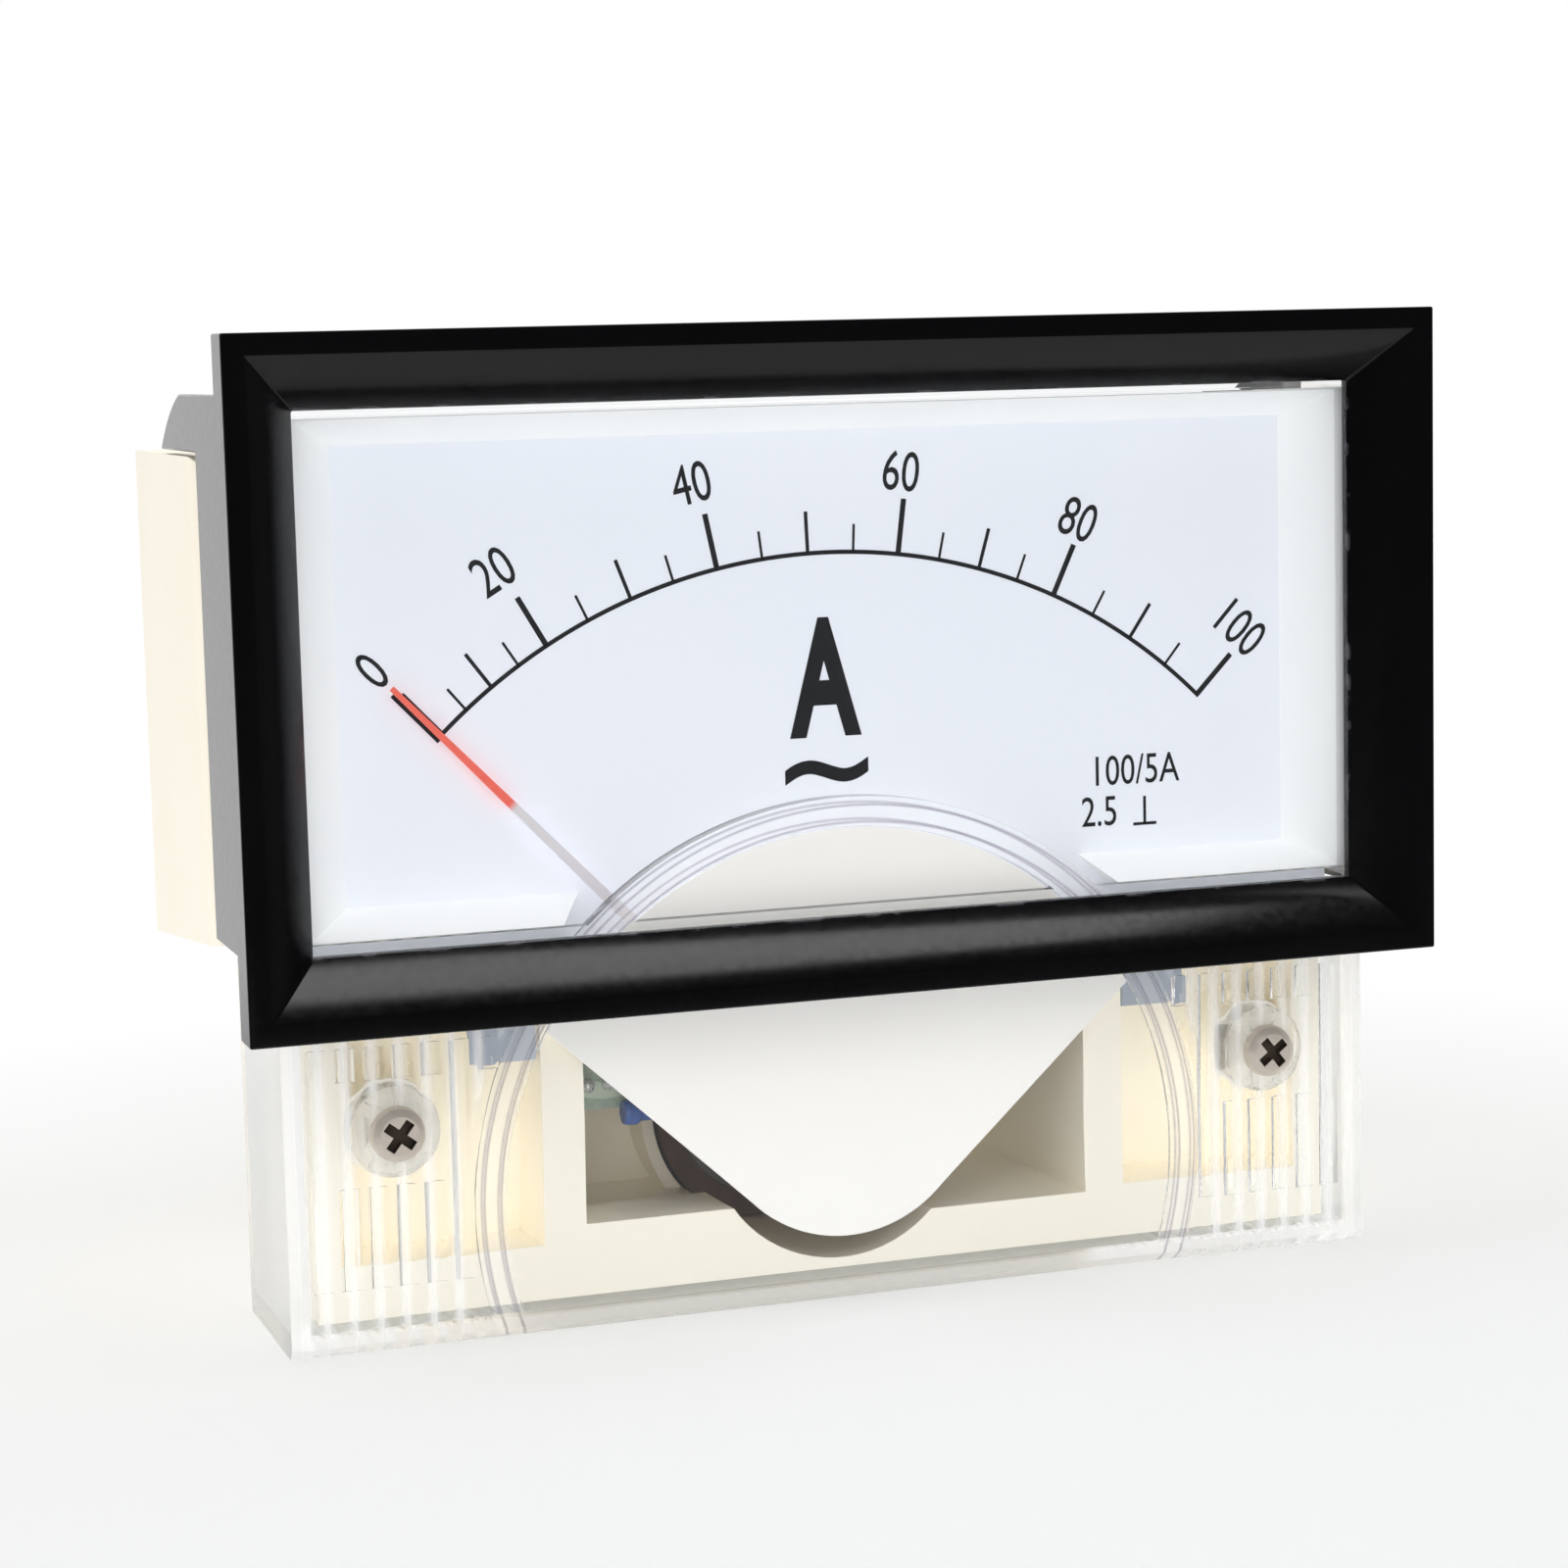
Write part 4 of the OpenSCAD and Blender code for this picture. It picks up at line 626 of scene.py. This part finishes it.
def inkFlat(bm):
    # lift the flat outline off the dial's face by the ink's thickness
    made = bmesh.ops.extrude_face_region(bm, geom=bm.faces[:])
    moved = [g for g in made["geom"] if isinstance(g, bmesh.types.BMVert)]
    bmesh.ops.translate(bm, verts=moved, vec=(0, -dial["ink"] * mm, 0))
    bmesh.ops.translate(bm, verts=bm.verts, vec=(0, dialFace + dial["lift"] * mm, 0))
    bmesh.ops.recalc_face_normals(bm, faces=bm.faces)
    return bm


def inkStroke(bm, width, length, middle, degrees=0):
    # a straight stroke, its length along Z before it is turned
    verts = bmesh.ops.create_grid(bm, x_segments=1, y_segments=1, size=0.5)["verts"]
    bmesh.ops.scale(bm, verts=verts, vec=(width * mm, length * mm, 1))
    bmesh.ops.rotate(bm, verts=verts, cent=(0, 0, 0), matrix=Matrix.Rotation(math.pi / 2, 3, "X"))
    bmesh.ops.rotate(bm, verts=verts, cent=(0, 0, 0), matrix=Matrix.Rotation(math.radians(degrees), 3, "Y"))
    bmesh.ops.translate(bm, verts=verts, vec=middle)


def scaleTick(bm, tick, degrees):
    # from the arc's inner edge outwards
    length, width = tick
    inner = dial["arcWidth"] / 2
    middle = dialPoint(dial["arcRadius"] + (length - inner) / 2, degrees)
    inkStroke(bm, width, length + inner, middle, degrees)


def inkWords(bm, words, height, x, z, degrees, squeeze, weight):
    curve = bpy.data.curves.new("words", "FONT")
    curve.body = words
    curve.size = height / 0.7 * mm    # capitals are about 0.7 of the size
    curve.offset = weight * mm
    curve.resolution_u = 4
    curve.align_x = "CENTER"
    curve.align_y = "CENTER"
    holder = bpy.data.objects.new("words", curve)
    scene.collection.objects.link(holder)
    bpy.context.view_layer.update()
    mesh = bpy.data.meshes.new_from_object(holder)
    bpy.data.objects.remove(holder)
    mesh.transform(Matrix.Translation((x * mm, 0, z * mm)) @ Matrix.Rotation(math.radians(degrees), 4, "Y")
                   @ Matrix.Rotation(math.pi / 2, 4, "X") @ Matrix.Scale(squeeze, 4, (1, 0, 0)))
    bm.from_mesh(mesh)
    bpy.data.meshes.remove(mesh)


scale = bmesh.new()
tens = dial["tens"]
half = dial["arcWidth"] / 2
start = [scale.verts.new(dialPoint(dial["arcRadius"] + side * half, tens[0])) for side in (-1, 1)]
rim = scale.edges.new(start)
bmesh.ops.spin(scale, geom=[*start, rim], cent=(pivot.x, 0, pivot.z), axis=(0, 1, 0),
               angle=math.radians(tens[-1] - tens[0]), steps=dial["arcSteps"])
for i, degrees in enumerate(tens):
    scaleTick(scale, dial["longTick"] if i % 2 == 0 else dial["middleTick"], degrees)
for before, after in zip(tens, tens[1:]):
    scaleTick(scale, dial["shortTick"], (before + after) / 2)
# the zero mark is a heavier stroke beside the resting pointer
zero = dial["zeroMark"]
zeroMiddle = dialPoint(dial["arcRadius"] + zero["length"] / 2 - zero["below"], tens[0] - zero["beside"])
inkStroke(scale, zero["width"], zero["length"], zeroMiddle, tens[0])
showPiece(inkFlat(scale), "dialScale", dialInk)

figures = bmesh.new()
for words, x, z in dial["figures"]:
    outward = math.degrees(math.atan2(x * mm - pivot.x, z * mm - pivot.z))
    inkWords(figures, words, dial["figureHeight"], x, z, outward, dial["figureSqueeze"], 0.0)
showPiece(inkFlat(figures), "dialFigures", dialInk)

signs = bmesh.new()
for words, height, x, z, squeeze, weight in dial["signs"]:
    inkWords(signs, words, height, x, z, 0, squeeze, weight)
upright = dial["upright"]
inkStroke(signs, upright["line"], upright["stem"], Vector((upright["x"], 0, upright["z"])) * mm)
inkStroke(signs, upright["foot"], upright["line"],
          Vector((upright["x"], 0, upright["z"] - upright["drop"])) * mm)
showPiece(inkFlat(signs), "dialSigns", dialInk)
print("dial printed")


finishes = (
    (pointerPaint, ("pointer",)),
    (rolledAluminium, ("pointer_hub", "coil_former")),
    (turnedBrass, ("balance_weights", "bridge_posts", "front_jewel_screw", "rear_jewel_screw",
                   "terminal_nuts")),
    (coilWire, ("moving_coil",)),
    (groundSteel, ("front_spindle", "rear_spindle", "zero_adjust_arm", "pointer_stops")),
    (phosphorBronze, ("front_hairspring", "rear_hairspring")),
    (sinteredMagnet, ("magnet_ring",)),
    (softIron, ("pole_pieces", "iron_core")),
    (rolledBrass, ("core_strap", "front_bridge", "rear_bridge")),
    (nickelSteel, ("bridge_screws", "rear_bridge_screws", "board_screw", "transformer_screws")),
    (resistBoard, ("rectifier_board",)),
    (blackEpoxy, ("rectifier_diodes",)),
    (blueLacquer, ("shunt_resistor",)),
    (tinSolder, ("solder_joints", "movement_leads")),
    (steelStack, ("transformer_core",)),
    (naturalNylon, ("transformer_bobbin",)),
    (transformerWire, ("transformer_winding",)),
    (redPvc, ("transformer_leads",)),
    (copperStrap, ("terminal_straps",)),
    (zincSteel, ("terminal_washers",)),
    (studBrass, ("terminal_studs",)),
)
for material, wearers in finishes:
    for node in wearers:
        dress(node, material)
print("movement, circuit and terminals dressed")


# places and sizes of the floor and the lamps in metres
stage = {
    "floorReach": 3.0, "floorFront": 0.14, "fadeFrom": 0.08, "fadeTo": 0.13, "fadeNear": 0.45,
    "paperGloss": 0.04, "paperBack": 0.15,
    "frontDark": 0.01, "darkTo": 0.35, "whiteFrom": 0.75,
    "clearFront": 0.35, "clearFrom": -0.8, "clearTo": -0.3,
    "worldLevel": 0.84, "deepLevel": 4.0, "deepFrom": 1.0, "deepTo": 3.0,
    "overhead": {"at": (-0.03, -0.06, 0.42), "size": (0.5, 0.13), "radiance": 2.8},
    "key": {"at": (-0.18, -0.55, 0.36), "size": (0.3, 0.3), "radiance": 2.0},
    "fill": {"at": (-0.15, -0.62, 0.03), "size": (0.25, 0.2), "radiance": 3.6},
}

floorMesh = bmesh.new()
bmesh.ops.create_grid(floorMesh, x_segments=8, y_segments=8, size=stage["floorReach"])
bmesh.ops.translate(floorMesh, verts=floorMesh.verts,
                    vec=(0, stage["floorReach"] - stage["floorFront"], cadBox[0][2] - 0.02 * mm))
floorData = bpy.data.meshes.new("floor")
floorMesh.to_mesh(floorData)
floorMesh.free()
floor = bpy.data.objects.new("floor", floorData)
scene.collection.objects.link(floor)


def seamlessPaper():
    # Seamless white paper: matt near the object, where it keeps the shadow, and pure white beyond
    material, tree, shader, place = newMaterial("seamlessPaper", Roughness=0.9)
    shader.inputs["Base Color"].default_value = srgb("#DFE0E0")
    fibre = addNode(tree, "TexNoise", {"Vector": place, "Scale": 1 / (0.8 * mm), "Detail": 2.0})
    bump = addNode(tree, "Bump", {"Height": fibre.outputs["Fac"], "Strength": 0.05, "Distance": 0.02 * mm})
    tree.links.new(bump.outputs["Normal"], shader.inputs["Normal"])
    distance = addNode(tree, "VectorMath", {0: place}, operation="LENGTH")
    fade = addNode(tree, "MapRange", {"Value": distance.outputs["Value"], "From Min": stage["fadeFrom"],
                                      "From Max": stage["fadeTo"], "To Min": stage["fadeNear"]})
    # the paper in front stays out of the gloss of the black moulding
    parts = addNode(tree, "SeparateXYZ", {0: place})
    behind = addNode(tree, "MapRange", {"Value": parts.outputs["Y"], "From Min": 0.0,
                                        "From Max": stage["paperBack"], "To Min": stage["paperGloss"]})
    path = addNode(tree, "LightPath")
    level = addNode(tree, "Mix", {0: path.outputs["Is Glossy Ray"], 2: 1.0, 3: behind.outputs["Result"]})
    white = addNode(tree, "Emission", {"Color": (1, 1, 1, 1), "Strength": level.outputs[0]})
    both = addNode(tree, "MixShader", {0: fade.outputs["Result"], 1: shader.outputs[0], 2: white.outputs[0]})
    tree.links.new(both.outputs[0], tree.nodes["Material Output"].inputs["Surface"])
    return material


floorData.materials.append(seamlessPaper())

world = bpy.data.worlds.new("studio")
scene.world = world
world.use_nodes = True
world.cycles.sampling_method = "NONE"
tree = world.node_tree
background = tree.nodes["Background"]
background.inputs["Color"].default_value = (1, 1, 1, 1)
path = addNode(tree, "LightPath")
towards = addNode(tree, "SeparateXYZ", {0: addNode(tree, "TexCoord").outputs["Generated"]}).outputs["Y"]
# glossy surfaces mirror a white backdrop behind and a dark room in front
room = addNode(tree, "MapRange", {"Value": towards, "From Min": stage["darkTo"],
                                  "From Max": stage["whiteFrom"], "To Min": stage["frontDark"]},
               interpolation_type="SMOOTHSTEP")
# clear plastic shows white nearly all round
around = addNode(tree, "MapRange", {"Value": towards, "From Min": stage["clearFrom"],
                                    "From Max": stage["clearTo"], "To Min": stage["clearFront"]})
polished = addNode(tree, "Mix", {0: path.outputs["Is Transmission Ray"], 2: room.outputs["Result"],
                                 3: around.outputs["Result"]})
# light that has met a matt surface comes evenly from all round, also through the clear cover, and it grows
# with each bounce, as it does in thin pale mouldings that let light through
deep = addNode(tree, "MapRange", {"Value": path.outputs["Diffuse Depth"], "From Min": stage["deepFrom"],
                                  "From Max": stage["deepTo"], "To Min": stage["worldLevel"],
                                  "To Max": stage["deepLevel"]})
mirrored = addNode(tree, "Math", {0: path.outputs["Is Glossy Ray"], 1: path.outputs["Is Transmission Ray"]},
                   operation="MAXIMUM")
unscattered = addNode(tree, "Math", {0: path.outputs["Diffuse Depth"], 1: 0.5}, operation="LESS_THAN")
direct = addNode(tree, "Math", {0: mirrored.outputs[0], 1: unscattered.outputs[0]}, operation="MULTIPLY")
lighting = addNode(tree, "Mix", {0: direct.outputs[0], 2: deep.outputs["Result"], 3: polished.outputs[0]})
seen = addNode(tree, "Mix", {0: path.outputs["Is Camera Ray"], 2: lighting.outputs[0], 3: 1.0})
tree.links.new(seen.outputs[0], background.inputs["Strength"])


def softbox(name, box, inGloss=True):
    lamp = bpy.data.lights.new(name, "AREA")
    lamp.shape = "RECTANGLE"
    lamp.size, lamp.size_y = box["size"]
    lamp.energy = box["radiance"] * math.pi * box["size"][0] * box["size"][1]
    holder = bpy.data.objects.new(name, lamp)
    holder.location = box["at"]
    holder.rotation_euler = (-Vector(box["at"])).to_track_quat("-Z", "Y").to_euler()
    holder.visible_glossy = inGloss
    scene.collection.objects.link(holder)


softbox("overheadSoftbox", stage["overhead"])
softbox("keySoftbox", stage["key"])
softbox("fillSoftbox", stage["fill"], inGloss=False)    # it would stand as a bright square in the window

# from the left and a little above, place in millimetres and angles in degrees
view = {"at": (-77.5, -212.0, 19.6), "yaw": 18.9247, "pitch": 6.9636, "roll": 1.4168, "lens": 81.84}
lens = bpy.data.cameras.new("camera")
lens.lens = view["lens"]
lens.sensor_width = 36
lens.clip_start, lens.clip_end = 0.01, 20
camera = bpy.data.objects.new("camera", lens)
camera.matrix_world = (Matrix.Translation(Vector(view["at"]) * mm)
                       @ Matrix.Rotation(math.radians(-view["yaw"]), 4, "Z")
                       @ Matrix.Rotation(math.radians(90 - view["pitch"]), 4, "X")
                       @ Matrix.Rotation(math.radians(-view["roll"]), 4, "Z"))
scene.collection.objects.link(camera)
scene.camera = camera
print("stage set")
